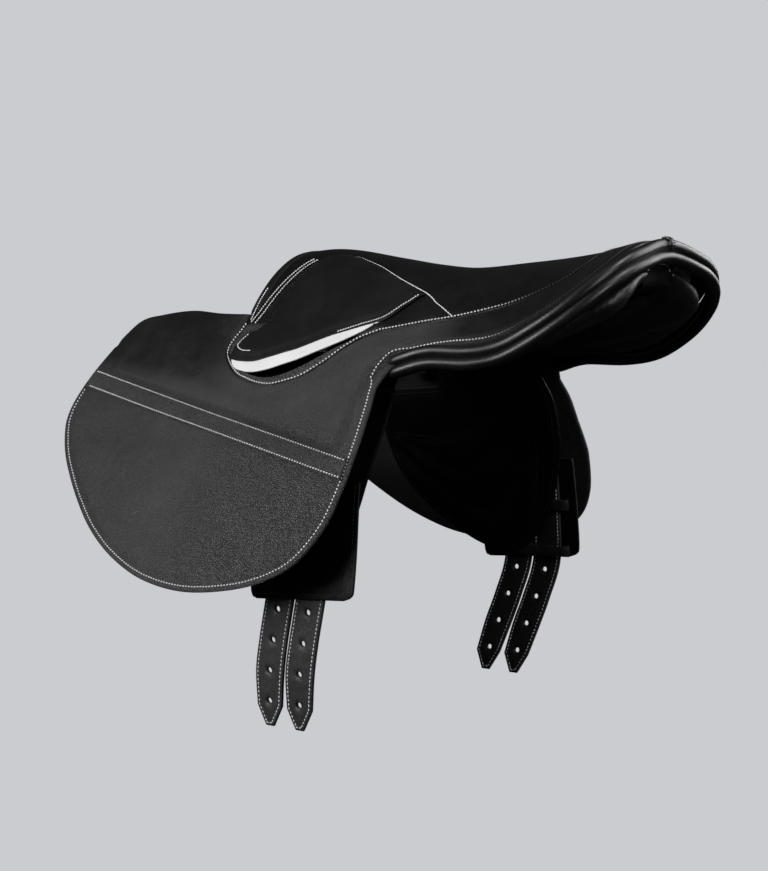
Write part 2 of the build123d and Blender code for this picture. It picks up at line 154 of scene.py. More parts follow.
def skin(uv, lift):
    """Places (x, arc) points on the outer surface, lifted off it, with the surface's normals."""
    x, y = uv[:, 0], y_at(uv[:, 1])
    step = 1.0
    along_x = (height(x + step, y) - height(x - step, y)) / (2 * step)
    along_y = (height(x, y + step) - height(x, y - step)) / (2 * step)
    normal = np.column_stack([-along_x, -along_y, np.ones_like(x)])
    return lifted(np.column_stack([x, y, height(x, y)]), normal, lift)


STRAP_Y = [(z, y) for y, z in BILLET_LINE]


def hang(uv, lift):
    """Places (x, depth below the origin) points on the surface that the straps hang in, lifted off it."""
    x, z = uv[:, 0], -uv[:, 1]
    step = 2.0
    lean = (smooth(STRAP_Y, z + step) - smooth(STRAP_Y, z - step)) / (2 * step)
    normal = np.column_stack([np.zeros_like(x), np.ones_like(x), -lean])
    return lifted(np.column_stack([x, smooth(STRAP_Y, z), z]), normal, lift)


def curve(points, step=2.5):
    """A smooth line through the points, in short steps."""
    p = np.array(points, float)
    if len(p) == 2:
        count = max(1, round(float(np.linalg.norm(p[1] - p[0])) / step))
        return p[0] + (p[1] - p[0]) * np.linspace(0, 1, count + 1)[:, None]
    p = np.concatenate([[2 * p[0] - p[1]], p, [2 * p[-1] - p[-2]]])
    runs = []
    for a, b, c, d in zip(p, p[1:], p[2:], p[3:]):
        count = max(1, round(float(np.linalg.norm(c - b)) / step))
        t = (np.arange(count) / count)[:, None]
        runs.append(0.5 * (2 * b + (c - a) * t + (2 * a - 5 * b + 4 * c - d) * t ** 2
                           + (3 * b - a - 3 * c + d) * t ** 3))
    return np.concatenate(runs + [p[-2:-1]])


def loop(*edges, step=2.5):
    """A closed outline of smooth edges, with a corner where two meet."""
    return np.concatenate([curve(edge, step)[:-1] for edge in edges])


def straight(corners):
    """A closed outline with straight edges."""
    return loop(*zip(corners, corners[1:] + corners[:1]))


def travelled(line):
    """Distance along a line at each of its points."""
    return np.concatenate([[0], np.cumsum(np.linalg.norm(np.diff(line, axis=0), axis=1))])


def turns(count):
    """Even angles once round."""
    return np.arange(count) * 2 * math.pi / count


def groove(off, depth, width):
    """Depth of a soft groove at a distance off its middle."""
    return depth * np.exp(-(off / width) ** 2)


def even(lift):
    """The same lift everywhere."""
    return lambda uv: np.full(len(uv), lift)


def distance(points, line):
    """Distance from each point to a line of short steps."""
    start, run = line[:-1], np.diff(line, axis=0)
    size = np.maximum((run ** 2).sum(1), 1e-9)
    best = np.full(len(points), 1e9)
    for a, ab, length in zip(start, run, size):
        t = np.clip(((points - a) @ ab) / length, 0, 1)
        best = np.minimum(best, np.linalg.norm(points - a - t[:, None] * ab, axis=1))
    return best


def closed(line):
    """An outline with its first point again at its end."""
    return np.concatenate([line, line[:1]])


def within(points, outline):
    """True for each point inside a closed outline."""
    x, y = points.T
    count = np.zeros(len(points), int)
    for a, b in zip(outline, np.roll(outline, -1, axis=0)):
        if a[1] != b[1]:
            crosses = (a[1] > y) != (b[1] > y)
            count += crosses & (x < a[0] + (y - a[1]) * (b[0] - a[0]) / (b[1] - a[1]))
    return count % 2 == 1


def moved(line, off, shut=False):
    """A line moved to its left by off, in its own plane: one distance, or one for each point."""
    if shut:
        run = np.roll(line, -1, axis=0) - np.roll(line, 1, axis=0)
    else:
        run = np.gradient(line, axis=0)
    run = unit(run)
    return line + np.reshape(off, (-1, 1)) * np.column_stack([-run[:, 1], run[:, 0]])


# ---- meshes ------------------------------------------------------------------------------------------
def add_mesh(name, points, faces, material, flip=False):
    """A smooth-shaded mesh object from points in millimetres; flip makes the mirror image in y."""
    points = np.array(points, float) * MM
    if flip:
        points = points * (1, -1, 1)
        faces = [tuple(reversed(face)) for face in faces]
    mesh = bpy.data.meshes.new(name)
    mesh.from_pydata(points.tolist(), [], [tuple(int(i) for i in face) for face in faces])
    mesh.validate()
    mesh.polygons.foreach_set("use_smooth", [True] * len(mesh.polygons))
    mesh.materials.append(material)
    piece = bpy.data.objects.new(name, mesh)
    bpy.context.scene.collection.objects.link(piece)
    return piece


def fill(outline, holes, spacing, rounding):
    """Even triangles over the inside of an outline, closer together along its edges."""
    loops = [outline] + list(holes)
    low, high = outline.min(0), outline.max(0)
    rows = np.arange(low[1], high[1], spacing * 0.866)
    grid = [(x + (i % 2) * spacing / 2, y) for i, y in enumerate(rows)
            for x in np.arange(low[0], high[0], spacing)]
    grid = np.array(grid)
    grid = grid[within(grid, outline)]
    for hole in holes:
        grid = grid[~within(grid, hole)]
    off = np.min([distance(grid, closed(line)) for line in loops], axis=0)
    points = [grid[off > rounding + 0.45 * spacing]]
    for line in loops:
        for share in (0.3, 1.0):
            for turn in (1, -1):
                ring = moved(line, turn * share * rounding, shut=True)
                clear = within(ring, outline)
                for hole in holes:
                    clear &= ~within(ring, hole)
                near = np.min([distance(ring, closed(other)) for other in loops], axis=0)
                points.append(ring[clear & (near > 0.93 * share * rounding)])
    edges, count = [], 0
    for line in loops:
        edges += [(count + i, count + (i + 1) % len(line)) for i in range(len(line))]
        count += len(line)
    every = np.concatenate(loops + points)
    made = delaunay_2d_cdt([Vector(p) for p in every], edges, [], 0, 1e-4)
    flat = np.array([tuple(v) for v in made[0]])
    triangles = np.array(made[2])
    middle = flat[triangles].mean(1)
    keep = within(middle, outline)
    for hole in holes:
        keep &= ~within(middle, hole)
    triangles = triangles[keep]
    used = np.unique(triangles)
    index = np.full(len(flat), -1)
    index[used] = np.arange(len(used))
    return flat[used], index[triangles]


def leather(name, outline, material, outer, inner, place=skin, holes=(), spacing=4.0, rounding=1.2, flip=False,
            grain=None):
    """A closed piece of leather or padding between two liftings of a surface, with round edges.
    outer and inner give the lift off the surface at (u, v) points, and grain how rough-grained the leather is
    there; in varied leather the same value paints it lighter, a painted sheen."""
    flat, triangles = fill(outline, holes, spacing, rounding)
    loops = [closed(line) for line in [outline] + list(holes)]
    off = np.min([distance(flat, line) for line in loops], axis=0)
    turn = rounding * (1 - np.sqrt(np.clip(1 - np.clip(1 - off / rounding, 0, 1) ** 2, 0, 1)))
    top, _ = place(flat, outer(flat) - turn)
    bottom, _ = place(flat, inner(flat) + turn)
    count = len(flat)
    sides = {}
    for a, b, c in triangles:
        for edge in ((a, b), (b, c), (c, a)):
            sides[edge] = sides.get(edge, 0) + 1
    rim = [edge for edge in sides if (edge[1], edge[0]) not in sides]
    faces = [tuple(t) for t in triangles] + [(c + count, b + count, a + count) for a, b, c in triangles]
    faces += [(b, a, a + count, b + count) for a, b in rim]
    piece = add_mesh(name, np.concatenate([top, bottom]), faces, material, flip)
    if grain is not None:
        keep_values(piece, "grain", np.tile(grain(flat), 2))
    return piece


def keep_values(piece, name, values):
    """Keeps a number at each point of a mesh, for its material."""
    attribute = piece.data.attributes.new(name, "FLOAT", "POINT")
    attribute.data.foreach_set("value", np.array(values, np.float32))


def settle(piece, slot, body, *stands_for, fill=None):
    """Says the body a piece rides and the CAD nodes it stands for, which it hides; slot, the piece's record
    material, is not used.
    """
    if stands_for:
        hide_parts(*stands_for)
    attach(piece, body)


def soften(piece, width):
    """Rounds the sharp edges of a piece."""
    bevel = piece.modifiers.new("edges", "BEVEL")
    bevel.width = width * MM
    bevel.segments = 2


def loft(rings, sides, start=0):
    """Faces along a row of rings with as many points as sides, and over its two ends."""
    faces = []
    for i in range(rings - 1):
        a, b = start + i * sides, start + (i + 1) * sides
        for j in range(sides):
            k = (j + 1) % sides
            faces.append((a + j, a + k, b + k, b + j))
    last = start + (rings - 1) * sides
    return faces + [tuple(reversed(range(start, start + sides))), tuple(range(last, last + sides))]


def tube(name, line, across, up, material, sides=14, taper=12.0):
    """A round roll along a 3-D line: across and up are its half sizes square to the line, and its ends close."""
    run = unit(np.gradient(line, axis=0))
    level = unit(np.cross(run, (0, 0, 1.0)))
    rise = np.cross(level, run)
    gone = travelled(line)
    to_end = np.minimum(gone, gone[-1] - gone)
    size = np.sqrt(np.clip(1 - (1 - np.clip(to_end / taper, 0, 1)) ** 2, 0.02, 1))
    angle = turns(sides)
    rings = (line[:, None] + size[:, None, None] * (across * np.cos(angle)[None, :, None] * level[:, None]
             + up * np.sin(angle)[None, :, None] * rise[:, None]))
    return add_mesh(name, rings.reshape(-1, 3), loft(len(line), sides), material)


STITCH_SHAPE = [(-1.0, 0.25), (-0.8, 0.8), (0.0, 1.0), (0.8, 0.8), (1.0, 0.25)]    # (place along it, thickness)
STITCH_SIDES = 6
STITCH_SLANT = 0.12
STITCH_BOW = 0.35


def stitching(name, rows, material, flip=False, pitch=3.7, length=2.2, width=1.6, fade=None):
    """Rows of stitches. A row is a pair of points and normals along a line on a surface."""
    points, faces, shades = [], [], []
    angle = turns(STITCH_SIDES)
    for line, normals in rows:
        gone = travelled(line)
        places = np.arange(pitch / 2, gone[-1], pitch)
        centre, up = (np.column_stack([np.interp(places, gone, values[:, k]) for k in range(3)])
                      for values in (line, normals))
        run = np.gradient(centre, axis=0) if len(centre) > 1 else np.tile(line[-1] - line[0], (1, 1))
        run, up = unit(run), unit(up)
        cross = np.cross(up, run)
        for c, r, u, s in zip(centre, run + STITCH_SLANT * cross, up, cross):
            start = len(points)
            for along, size in STITCH_SHAPE:
                bow = c + r * along * length / 2 + u * STITCH_BOW * (1 - along * along)
                half = size * width / 2
                points.extend(bow + s * half * math.cos(a) + u * half * math.sin(a) for a in angle)
            faces += loft(len(STITCH_SHAPE), STITCH_SIDES, start)
            shades.extend([0.0 if fade is None else fade(c)] * (len(points) - start))
    piece = add_mesh(name, points, faces, material, flip)
    keep_values(piece, "fade", shades)
    return piece


def sew(name, rows, material, body, flip=False, **sizes):
    """Stitching that rides a body."""
    slot = "accent_leather" if material is thread else "strap_leather"
    settle(stitching(name, rows, material, flip, **sizes), slot, body)


# ---- materials ---------------------------------------------------------------------------------------
MIX_FACTOR, MIX_A, MIX_B, MIX_RESULT = 0, 6, 7, 2       # a mix node's sockets for colours


class Nodes:
    """Short calls for building one material's nodes."""

    def __init__(self, name):
        self.material = bpy.data.materials.new(name)
        self.material.use_nodes = True
        self.tree = self.material.node_tree
        self.shader = self.tree.nodes["Principled BSDF"]
        self.place = self.add("ShaderNodeTexCoord").outputs["Object"]

    def add(self, kind, sockets=None, **settings):
        """A new node with its settings, and with its sockets filled."""
        node = self.tree.nodes.new(kind)
        for key, value in settings.items():
            setattr(node, key, value)
        self.connect(node, sockets or {})
        return node

    def connect(self, node, sockets):
        """Gives each named socket a value, or links another node's output to it."""
        for key, value in sockets.items():
            if isinstance(value, bpy.types.NodeSocket):
                self.tree.links.new(value, node.inputs[key])
            else:
                node.inputs[key].default_value = value

    def attribute(self, name):
        return self.add("ShaderNodeAttribute", attribute_name=name).outputs["Fac"]

    def noise(self, size, detail=4.0, rough=0.55, stretch=None):
        """Noise whose blotches are about size metres across."""
        sockets = {"Scale": 1 / size, "Detail": detail, "Roughness": rough, "Vector": self.stretched(stretch)}
        return self.add("ShaderNodeTexNoise", sockets).outputs["Fac"]

    def stretched(self, stretch):
        if stretch is None:
            return self.place
        return self.add("ShaderNodeMapping", {"Scale": stretch, "Vector": self.place}).outputs["Vector"]

    def pebbles(self, size, wobble=0.35):
        """Leather pebbles: cells about size metres across, with creases between them."""
        shift = self.add("ShaderNodeTexNoise", {"Scale": 0.6 / size, "Detail": 2.0, "Vector": self.place})
        sockets = {0: shift.outputs["Color"], 1: (wobble * size,) * 3, 2: self.place}
        offset = self.add("ShaderNodeVectorMath", sockets, operation="MULTIPLY_ADD")
        sockets = {"Scale": 1 / size, "Vector": offset.outputs["Vector"]}
        cells = self.add("ShaderNodeTexVoronoi", sockets, feature="DISTANCE_TO_EDGE")
        return self.ramp(cells.outputs["Distance"], (0.0, 0.0), (0.22, 1.0))

    def ramp(self, value, low, high):
        """value from low[0] to high[0] as low[1] to high[1], held beyond."""
        sockets = {"Value": value, "From Min": low[0], "To Min": low[1], "From Max": high[0], "To Max": high[1]}
        return self.add("ShaderNodeMapRange", sockets, interpolation_type="SMOOTHSTEP").outputs["Result"]

    def mix(self, factor, a, b):
        """A colour from a at factor 0 to b at factor 1."""
        a, b = (colour if isinstance(colour, bpy.types.NodeSocket) else (*colour, 1) for colour in (a, b))
        sockets = {MIX_FACTOR: factor, MIX_A: a, MIX_B: b}
        return self.add("ShaderNodeMix", sockets, data_type="RGBA").outputs[MIX_RESULT]

    def tones(self, value, low, high, a, b, most=1.0):
        """Colour a where value is below low, and most of the way to b where it is above high."""
        return self.mix(self.ramp(value, (low, 0.0), (high, most)), a, b)

    def maths(self, operation, a, b):
        return self.add("ShaderNodeMath", {0: a, 1: b}, operation=operation).outputs["Value"]

    def bump(self, *layers):
        """Bump layers, each a height and how many metres it stands for."""
        sockets = {}
        for value, depth in layers:
            sockets.update({"Strength": 1.0, "Distance": depth, "Height": value})
            sockets = {"Normal": self.add("ShaderNodeBump", sockets).outputs["Normal"]}
        self.connect(self.shader, sockets)

    def finish(self, colour, roughness, **sockets):
        """The material, with these sockets of its shader filled."""
        named = {name.replace("_", " "): value for name, value in sockets.items()}
        self.connect(self.shader, {"Base Color": colour, "Roughness": roughness, **named})
        return self.material


def leather_material(name, pebble, relief, dark, light, gloss, level, worn, varied=False):
    """Dyed leather: pebbled grain, fine pores, soft creases, mottled dye and paler worn edges, with painted shade
    darkening the creases between the pebbles.
    Varied leather is as rough-grained at each point as its mesh's grain says, and is painted lighter there in the
    same measure: a painted sheen."""
    nodes = Nodes(name)
    grain = nodes.pebbles(pebble)
    if varied:
        grain_and_sheen = nodes.attribute("grain")
        flat = nodes.maths("SUBTRACT", 1.0, grain_and_sheen)
        grain = nodes.maths("ADD", nodes.maths("MULTIPLY", grain, grain_and_sheen), flat)
        # painted sheen: the higher the grain value, the lighter the grey the black leather is painted
        light = nodes.mix(grain_and_sheen, light, GRAIN_SHEEN)
        dark = nodes.mix(grain_and_sheen, dark, shaded(GRAIN_SHEEN, 0.8))
    creases = nodes.noise(0.018, 5.0, 0.6, (1.0, 0.55, 1.0))
    colour = nodes.tones(nodes.noise(0.06), 0.35, 0.7, dark, light)
    # painted shade: the creases between the pebbles are darkened towards black, most in varied leather
    crease_shade = 0.9 if varied else 0.35
    colour = nodes.mix(nodes.ramp(grain, (0.0, crease_shade), (0.8, 0.0)), colour, (0.002, 0.002, 0.002))
    edge = nodes.add("ShaderNodeNewGeometry").outputs["Pointiness"]
    colour = nodes.tones(edge, 0.54, 0.66, colour, worn, most=0.7)
    rough = nodes.maths("ADD", nodes.ramp(creases, (0.3, gloss[0]), (0.7, gloss[1])),
                        nodes.ramp(grain, (0.0, 0.10), (0.7, 0.0)))
    nodes.bump((creases, relief * 1.5), (grain, relief), (nodes.noise(pebble * 0.22, 3.0), relief * 0.35))
    return nodes.finish(colour, rough, Specular_IOR_Level=level)


def shaded(colour, share):
    return tuple(share * c for c in colour)


def thread_material(name, colour, darkened):
    """Twisted waxed thread."""
    nodes = Nodes(name)
    twist = nodes.noise(0.0006, 2.0, 0.5)
    base = nodes.tones(twist, 0.3, 0.7, shaded(colour, 0.7), colour)
    nodes.bump((twist, 0.0002))
    return nodes.finish(nodes.mix(nodes.attribute("fade"), base, darkened), nodes.ramp(twist, (0.3, 0.5), (0.7, 0.7)))


def white_leather():
    nodes = Nodes("white_leather")
    dust = nodes.noise(0.03)
    colour = nodes.tones(dust, 0.3, 0.75, (0.86, 0.86, 0.86), (0.74, 0.74, 0.73))
    nodes.bump((nodes.pebbles(0.0011), 0.00006))
    return nodes.finish(colour, nodes.ramp(dust, (0.3, 0.38), (0.7, 0.5)), Specular_IOR_Level=0.45)


def steel(name, colour):
    """Steel with fine polishing lines and faint stains."""
    nodes = Nodes(name)
    lines = nodes.noise(0.0015, 3.0, 0.6, (1.0, 1.0, 0.05))
    base = nodes.tones(nodes.noise(0.012), 0.4, 0.75, colour, shaded(colour, 0.55))
    nodes.bump((lines, 0.00005))
    return nodes.finish(base, nodes.ramp(lines, (0.3, 0.25), (0.7, 0.45)), Metallic=1.0)


def beech():
    nodes = Nodes("beech")
    grain = nodes.noise(0.006, 5.0, 0.6, (0.12, 1.0, 1.0))
    flecks = nodes.noise(0.0015, 2.0, 0.5, (0.25, 1.0, 1.0))
    colour = nodes.tones(grain, 0.35, 0.65, (0.50, 0.31, 0.17), (0.33, 0.18, 0.09))
    colour = nodes.tones(flecks, 0.62, 0.75, colour, (0.22, 0.11, 0.05), most=0.6)
    nodes.bump((grain, 0.0003), (flecks, 0.0001))
    return nodes.finish(colour, nodes.ramp(grain, (0.3, 0.5), (0.7, 0.7)))


def webbing():
    nodes = Nodes("webbing")
    ways = [nodes.add("ShaderNodeTexWave", {"Scale": scale, "Vector": nodes.place}, bands_direction=way)
            for way, scale in (("X", 160), ("Y", 120))]
    weave = nodes.maths("MAXIMUM", *[wave.outputs["Fac"] for wave in ways])
    fuzz = nodes.noise(0.002)
    colour = nodes.tones(fuzz, 0.3, 0.7, (0.55, 0.51, 0.43), (0.40, 0.36, 0.29))
    nodes.bump((weave, 0.0004), (fuzz, 0.0001))
    return nodes.finish(colour, nodes.ramp(fuzz, (0.3, 0.75), (0.7, 0.9)))


def foam():
    nodes = Nodes("foam")
    cells = nodes.pebbles(0.0016, 0.6)
    colour = nodes.tones(nodes.noise(0.03, 3.0), 0.3, 0.7, (0.42, 0.42, 0.43), (0.34, 0.34, 0.35))
    nodes.bump((cells, 0.0004))
    return nodes.finish(colour, nodes.ramp(cells, (0.0, 0.95), (1.0, 0.8)))


SMOOTH_BLACK, SMOOTH_LIT = (0.0025, 0.0025, 0.0028), (0.006, 0.006, 0.0065)
BLACK, BLACK_LIT = (0.0065, 0.0065, 0.007), (0.012, 0.012, 0.013)
DEEP, DEEP_LIT = (0.003, 0.003, 0.0033), (0.006, 0.006, 0.0065)
WORN, WORN_DARK = (0.05, 0.05, 0.052), (0.012, 0.012, 0.0125)
# painted sheen: the grey that well-grained black leather is painted, standing in for the light on its grain
GRAIN_SHEEN = (0.092, 0.092, 0.094)
BACKGROUND = (0.597, 0.604, 0.631, 1)
grained = leather_material("grained_leather", 0.0019, 0.00060, SMOOTH_BLACK, SMOOTH_LIT, (0.34, 0.52), 0.30, WORN,
                           varied=True)
seat_black = leather_material("seat_leather", 0.0019, 0.00045, SMOOTH_BLACK, SMOOTH_LIT, (0.36, 0.52), 0.20, WORN,
                              varied=True)
smooth_black = leather_material("smooth_leather", 0.0011, 0.00004, BLACK, BLACK_LIT, (0.40, 0.52), 0.16, WORN)
roll_black = leather_material("roll_leather", 0.0010, 0.00003, DEEP, DEEP_LIT, (0.28, 0.38), 0.5, WORN_DARK)
lining_black = leather_material("lining_leather", 0.0014, 0.00006, (0.0015, 0.0015, 0.0017), DEEP,
                                (0.38, 0.50), 0.3, (0.008, 0.008, 0.0085))
# painted light: the straps are painted a much lighter black than the other leathers, standing in for the light on
# the billets
lit_strap_black = leather_material("strap_leather", 0.0013, 0.00009, (0.026, 0.026, 0.027), (0.036, 0.036, 0.037),
                               (0.38, 0.50), 0.6, (0.04, 0.04, 0.042))
guard_black = leather_material("guard_leather", 0.0013, 0.00009, DEEP, (0.005, 0.005, 0.0055), (0.36, 0.48), 0.3,
                               (0.015, 0.015, 0.016))
panel_black = leather_material("panel_leather", 0.0012, 0.00004, DEEP_LIT, (0.010, 0.010, 0.0107),
                               (0.30, 0.40), 0.45, WORN_DARK)
white = white_leather()
thread = thread_material("thread", (0.95, 0.95, 0.95), (0.02, 0.02, 0.022))
dark_thread = thread_material("dark_thread", (0.022, 0.022, 0.023), (0.022, 0.022, 0.023))
bright_steel = steel("bright_steel", (0.62, 0.62, 0.63))
dull_steel = steel("dull_steel", (0.33, 0.34, 0.36))
rivet_metal = steel("rivet_metal", (0.60, 0.55, 0.47))
wood = beech()
web_cloth = webbing()
foam_rubber = foam()


# ---- outlines ----------------------------------------------------------------------------------------
SEAM = [(-181, 0), (-180.5, 30), (-180, 58), (-177, 77), (-167, 94), (-147, 103), (-121, 107), (-90, 111),
        (-69, 114), (-49, 116), (-19, 119), (9, 123), (31, 126)]      # (x, y): the seat leather is sewn here
RECESS_STITCH = [(31, 126), (49, 132), (63, 140), (75, 150), (88, 159), (101, 166), (117, 170), (135, 173),
                 (154, 172), (171, 169), (187, 165), (205, 156), (217, 146), (219, 136), (216, 127), (214, 119)]
FLAP_EDGE = [(388, 4), (395, -17), (401, -41), (404, -65), (399, -84), (377, -116), (342, -154), (303, -185),
             (262, -208), (215, -224), (160, -230), (104, -224), (61, -212), (28, -193), (6, -160), (-3, -121),
             (-4, -102), (-3, -70), (-2, -50), (2, -30)]          # (x, z), front to rear
FLAP_TOP = [(214, 41), (255, 42), (298, 45), (340, 41), (370, 33), (388, 4)]
FLAP_TO_BORDER = [(2, 172), (-4, 159), (-17, 149), (-43, 144)]
RECESS = [(208, 6), (204, -6), (189, -15), (160, -23), (139, -24), (122, -20), (104, -12), (84, 0), (60, 15),
          (42, 29)]                      # (x, z) of the opening under the skirt, below its straight top
LEAF_UPPER = [(212, 149), (212, 140), (203, 129), (190, 121), (185, 110), (180, 95), (173, 78), (165, 59),
              (158, 46), (145, 38), (123, 39), (87, 51), (48, 69), (3, 88)]
LEAF_LOWER = [(3, 88), (14, 105), (30, 117), (57, 124), (89, 132), (120, 143), (136, 147), (152, 151), (170, 155),
              (191, 155), (204, 153), (212, 149)]


def outward(outline):
    """The outline, turned to run anticlockwise."""
    x, y = outline.T
    return outline if np.sum(x * np.roll(y, -1) - y * np.roll(x, -1)) > 0 else outline[::-1]




LEAF_UV = outward(on_skin(loop(LEAF_UPPER, LEAF_LOWER)))
UPPER_UV = on_skin(curve(LEAF_UPPER))
INSET_UV = np.concatenate([on_skin(curve(LEAF_LOWER)), on_skin(curve(LEAF_UPPER[:6]))[1:]])


def border_point(x):
    """Half width of the seat's border at x, behind the waist."""
    length = -60 - CANTLE_X
    return SEAT_HALF * np.clip(1 - np.clip((-60 - x) / length, 0, 1) ** 4, 0, 1) ** 0.25


REAR_X = -216.5             # the border is flat across the cantle
BORDER_X = [-43, -60, -80, -105, -130, -150, -170, -187, -200, -210, -218, -224, -227, -228.6, -229]
BORDER = [(x, float(border_point(x))) for x in BORDER_X]
BORDER = [(max(x, REAR_X - 4 * float(ease(y / 80))), y) for x, y in BORDER]


def skin_row(line, relief, lift=0.0):
    """A stitch row on a relief of the saddle's outer surface, lifted off it."""
    return skin(line, relief(line) + lift)


# ---- the seat ----------------------------------------------------------------------------------------
LIP_HEIGHT = 2.6
SEAM_DEPTH, SEAM_WIDTH = 1.6, 3.2
RIDGE_DEPTH, RIDGE_WIDTH = 1.3, 3.0
RIDGE_UV = on_skin(curve(LEAF_UPPER[8:] + [(-22, 103), (-49, 116)]))      # the seat's own seam, behind the skirt
FACING = [(-9.0, 0.15), (-4.0, 0.9), (0.5, 0.7), (3.2, -1.2), (4.4, -5.0), (4.2, -14.0), (3.6, -30.0),
          (2.4, -35.0), (0.4, -35.0), (0.4, -8.0), (-1.0, -4.2), (-9.0, -3.0)]    # (ahead, up) from the pommel


def near_side(uv):
    """The same points, all on the near side."""
    return np.column_stack([uv[:, 0], np.abs(uv[:, 1])])


def lip(uv):
    """1 on the lip round the recess, 0 at the seam that ends it and beyond."""
    return ease(1 - distance(uv, RECESS_UV) / 16) * ease(distance(uv, STITCH_UV) / 7)


def seat_relief(uv):
    """The seat leather is sucked down along its seams, and rises in a lip round the recess."""
    side = near_side(uv)
    seam = np.minimum(distance(side, SEAM_UV), distance(side, STITCH_UV))
    sunk = groove(seam, SEAM_DEPTH, SEAM_WIDTH) + groove(distance(side, RIDGE_UV), RIDGE_DEPTH, RIDGE_WIDTH)
    return LIP_HEIGHT * lip(side) - sunk


def seat_grain_and_sheen(uv):
    """The seat is smooth, and the lips are grained and painted lighter, a painted sheen."""
    side = near_side(uv)
    return ease((side[:, 0] - 50) / 40) * ease((side[:, 1] - arc(118.0)) / 12)


def build_seat():
    near = np.concatenate([curve(SEAM), curve(RECESS_STITCH)[1:]])
    front = curve([(214, 119), (POMMEL_X, 104)])[1:-1]
    across = curve([(POMMEL_X, 104), (POMMEL_X, -104)], 4.0)
    half = np.concatenate([near, front])
    outline = np.concatenate([half, across, (half * (1, -1))[::-1][:-1]])
    holes = [on_flap(RECESS_LOOP), on_flap(RECESS_LOOP) * (1, -1)]
    cover = leather("seat_cover", on_skin(outline)[::-1], seat_black, seat_relief, even(-LEATHER), holes=holes,
                    spacing=4.5, rounding=1.6, grain=seat_grain_and_sheen)
    settle(cover, "seat_leather", "root", "seat_cover")


def build_pommel():
    """The rolled facing round the front edge of the pommel."""
    ys = np.linspace(-107, 107, 76)
    points = [(POMMEL_X + ahead, y, float(height(POMMEL_X + min(ahead, 0), y)) + up)
              for y in ys for ahead, up in FACING]
    facing = add_mesh("pommel_facing", points, loft(len(ys), len(FACING)), smooth_black)
    settle(facing, "seat_leather", "root", "pommel_facing")


# ---- the sides ---------------------------------------------------------------------------------------
PAD_REAR = [(386, -22), (12, -97)], [(12, -97), (11, -66), (12, -46), (9, -26), (-1, -9), (-22, 8), (-30, 16)]
PAD_FRONT = [(-30, 16), (0, 24), (28, 22), (48, 12), (70, -5), (98, -20), (135, -28), (171, -25), (205, -8),
             (232, 20), (262, 40), (298, 45), (340, 41), (370, 30), (389, 4), (386, -22)]
PAD_STEP = on_flap(np.concatenate([curve(PAD_REAR[0], 4.0), curve(PAD_REAR[1], 4.0)]))
PAD_SOFT = on_flap(curve(PAD_FRONT, 4.0))
PAD_UV = on_flap(loop(*PAD_REAR, PAD_FRONT, step=4.0))
PAD_HEIGHT = 8.5
PAD_STEP_RUN, PAD_SLOPE_RUN = 7.0, 36.0
SEAM_UV = on_skin(curve(SEAM))
STITCH_UV = on_skin(curve(RECESS_STITCH))
# (height, size along, shift along, size down, shift down) of the soft waves in the lower flap
WAVES = [(0.9, 150, 0.3, 90, 1.1), (0.7, 90, 1.7, 130, 0.4), (0.45, 60, 2.3, 70, 2.0)]


def knee_pad_rise(uv):
    """The padding over the fold: a clear step at its rear and bottom, and a long slope everywhere else."""
    step = ease(distance(uv, PAD_STEP) / PAD_STEP_RUN)
    slope = ease(distance(uv, PAD_SOFT) / PAD_SLOPE_RUN)
    ahead = 1 - 0.45 * ease((uv[:, 0] - 240) / 140)
    return PAD_HEIGHT * np.where(within(uv, PAD_UV), step * slope * ahead, 0.0)


def side_relief(uv):
    """The side leather: padded above the fold, sunk at its seams, and a little full inside its edge stitching."""
    seam = np.minimum(distance(uv, SEAM_UV), distance(uv, STITCH_UV))
    lift = knee_pad_rise(uv) - groove(seam, SEAM_DEPTH, SEAM_WIDTH)
    lower = ease((arc(side_y(-110.0)) - uv[:, 1]) / -40)
    for size, wide, shift, tall, other in WAVES:
        lift = lift + lower * size * np.sin(uv[:, 0] / wide * 2 + shift) * np.sin(uv[:, 1] / tall * 2 + other)
    edge = distance(uv, EDGE_UV)
    return lift + 1.5 * ease((edge - 6.5) / 9) - groove(edge - STITCH_IN, 0.7, 1.5) - groove(edge - 2.4, 0.35, 0.6)


def side_grain_and_sheen(uv):
    """The flap is most grained towards its rear, and the rim round the back of the seat is smooth; the same value
    paints the flap lighter towards its rear and lower part, a painted highlight where the light falls.
    """
    x = uv[:, 0]
    over = ease((arc(side_y(-60.0 - 0.2 * (190 - x))) - uv[:, 1]) / 30)
    upper = 0.04 + 0.66 * ease((250 - x) / 110)
    lower = 0.28 + 0.72 * ease((330 - x) / 230)
    return ease((x + 80) / 90) * (over * upper + (1 - over) * lower)


RECESS_LOOP = loop(RECESS, [(42, 29), (50, 35)], [(50, 35), (168, 35)],
                   [(168, 35), (182, 27), (193, 17), (208, 6)])
RECESS_UV = on_flap(closed(RECESS_LOOP))
EDGE_UV = np.concatenate([on_flap(curve(FLAP_EDGE)), on_skin(curve(FLAP_TO_BORDER + BORDER[1:]))[1:]])
STITCH_IN = 5.5             # from the side leather's edge to its stitching
BORDER_SHIFT = 4.5          # how much further in it runs along the border, where the welt would hide it
FADE_X, FADE_RUN = -72, 70  # its thread darkens to near black behind this, over this length


def side_outline():
    """(x, arc) outline of one side's leather: flap, and the rim round the back of the seat."""
    whole = np.concatenate([SEAM_UV, STITCH_UV[1:], on_flap(curve(FLAP_TOP)), EDGE_UV[1:]])
    keep = np.concatenate([[True], np.linalg.norm(np.diff(whole, axis=0), axis=1) > 0.4])
    return whole[keep][::-1]


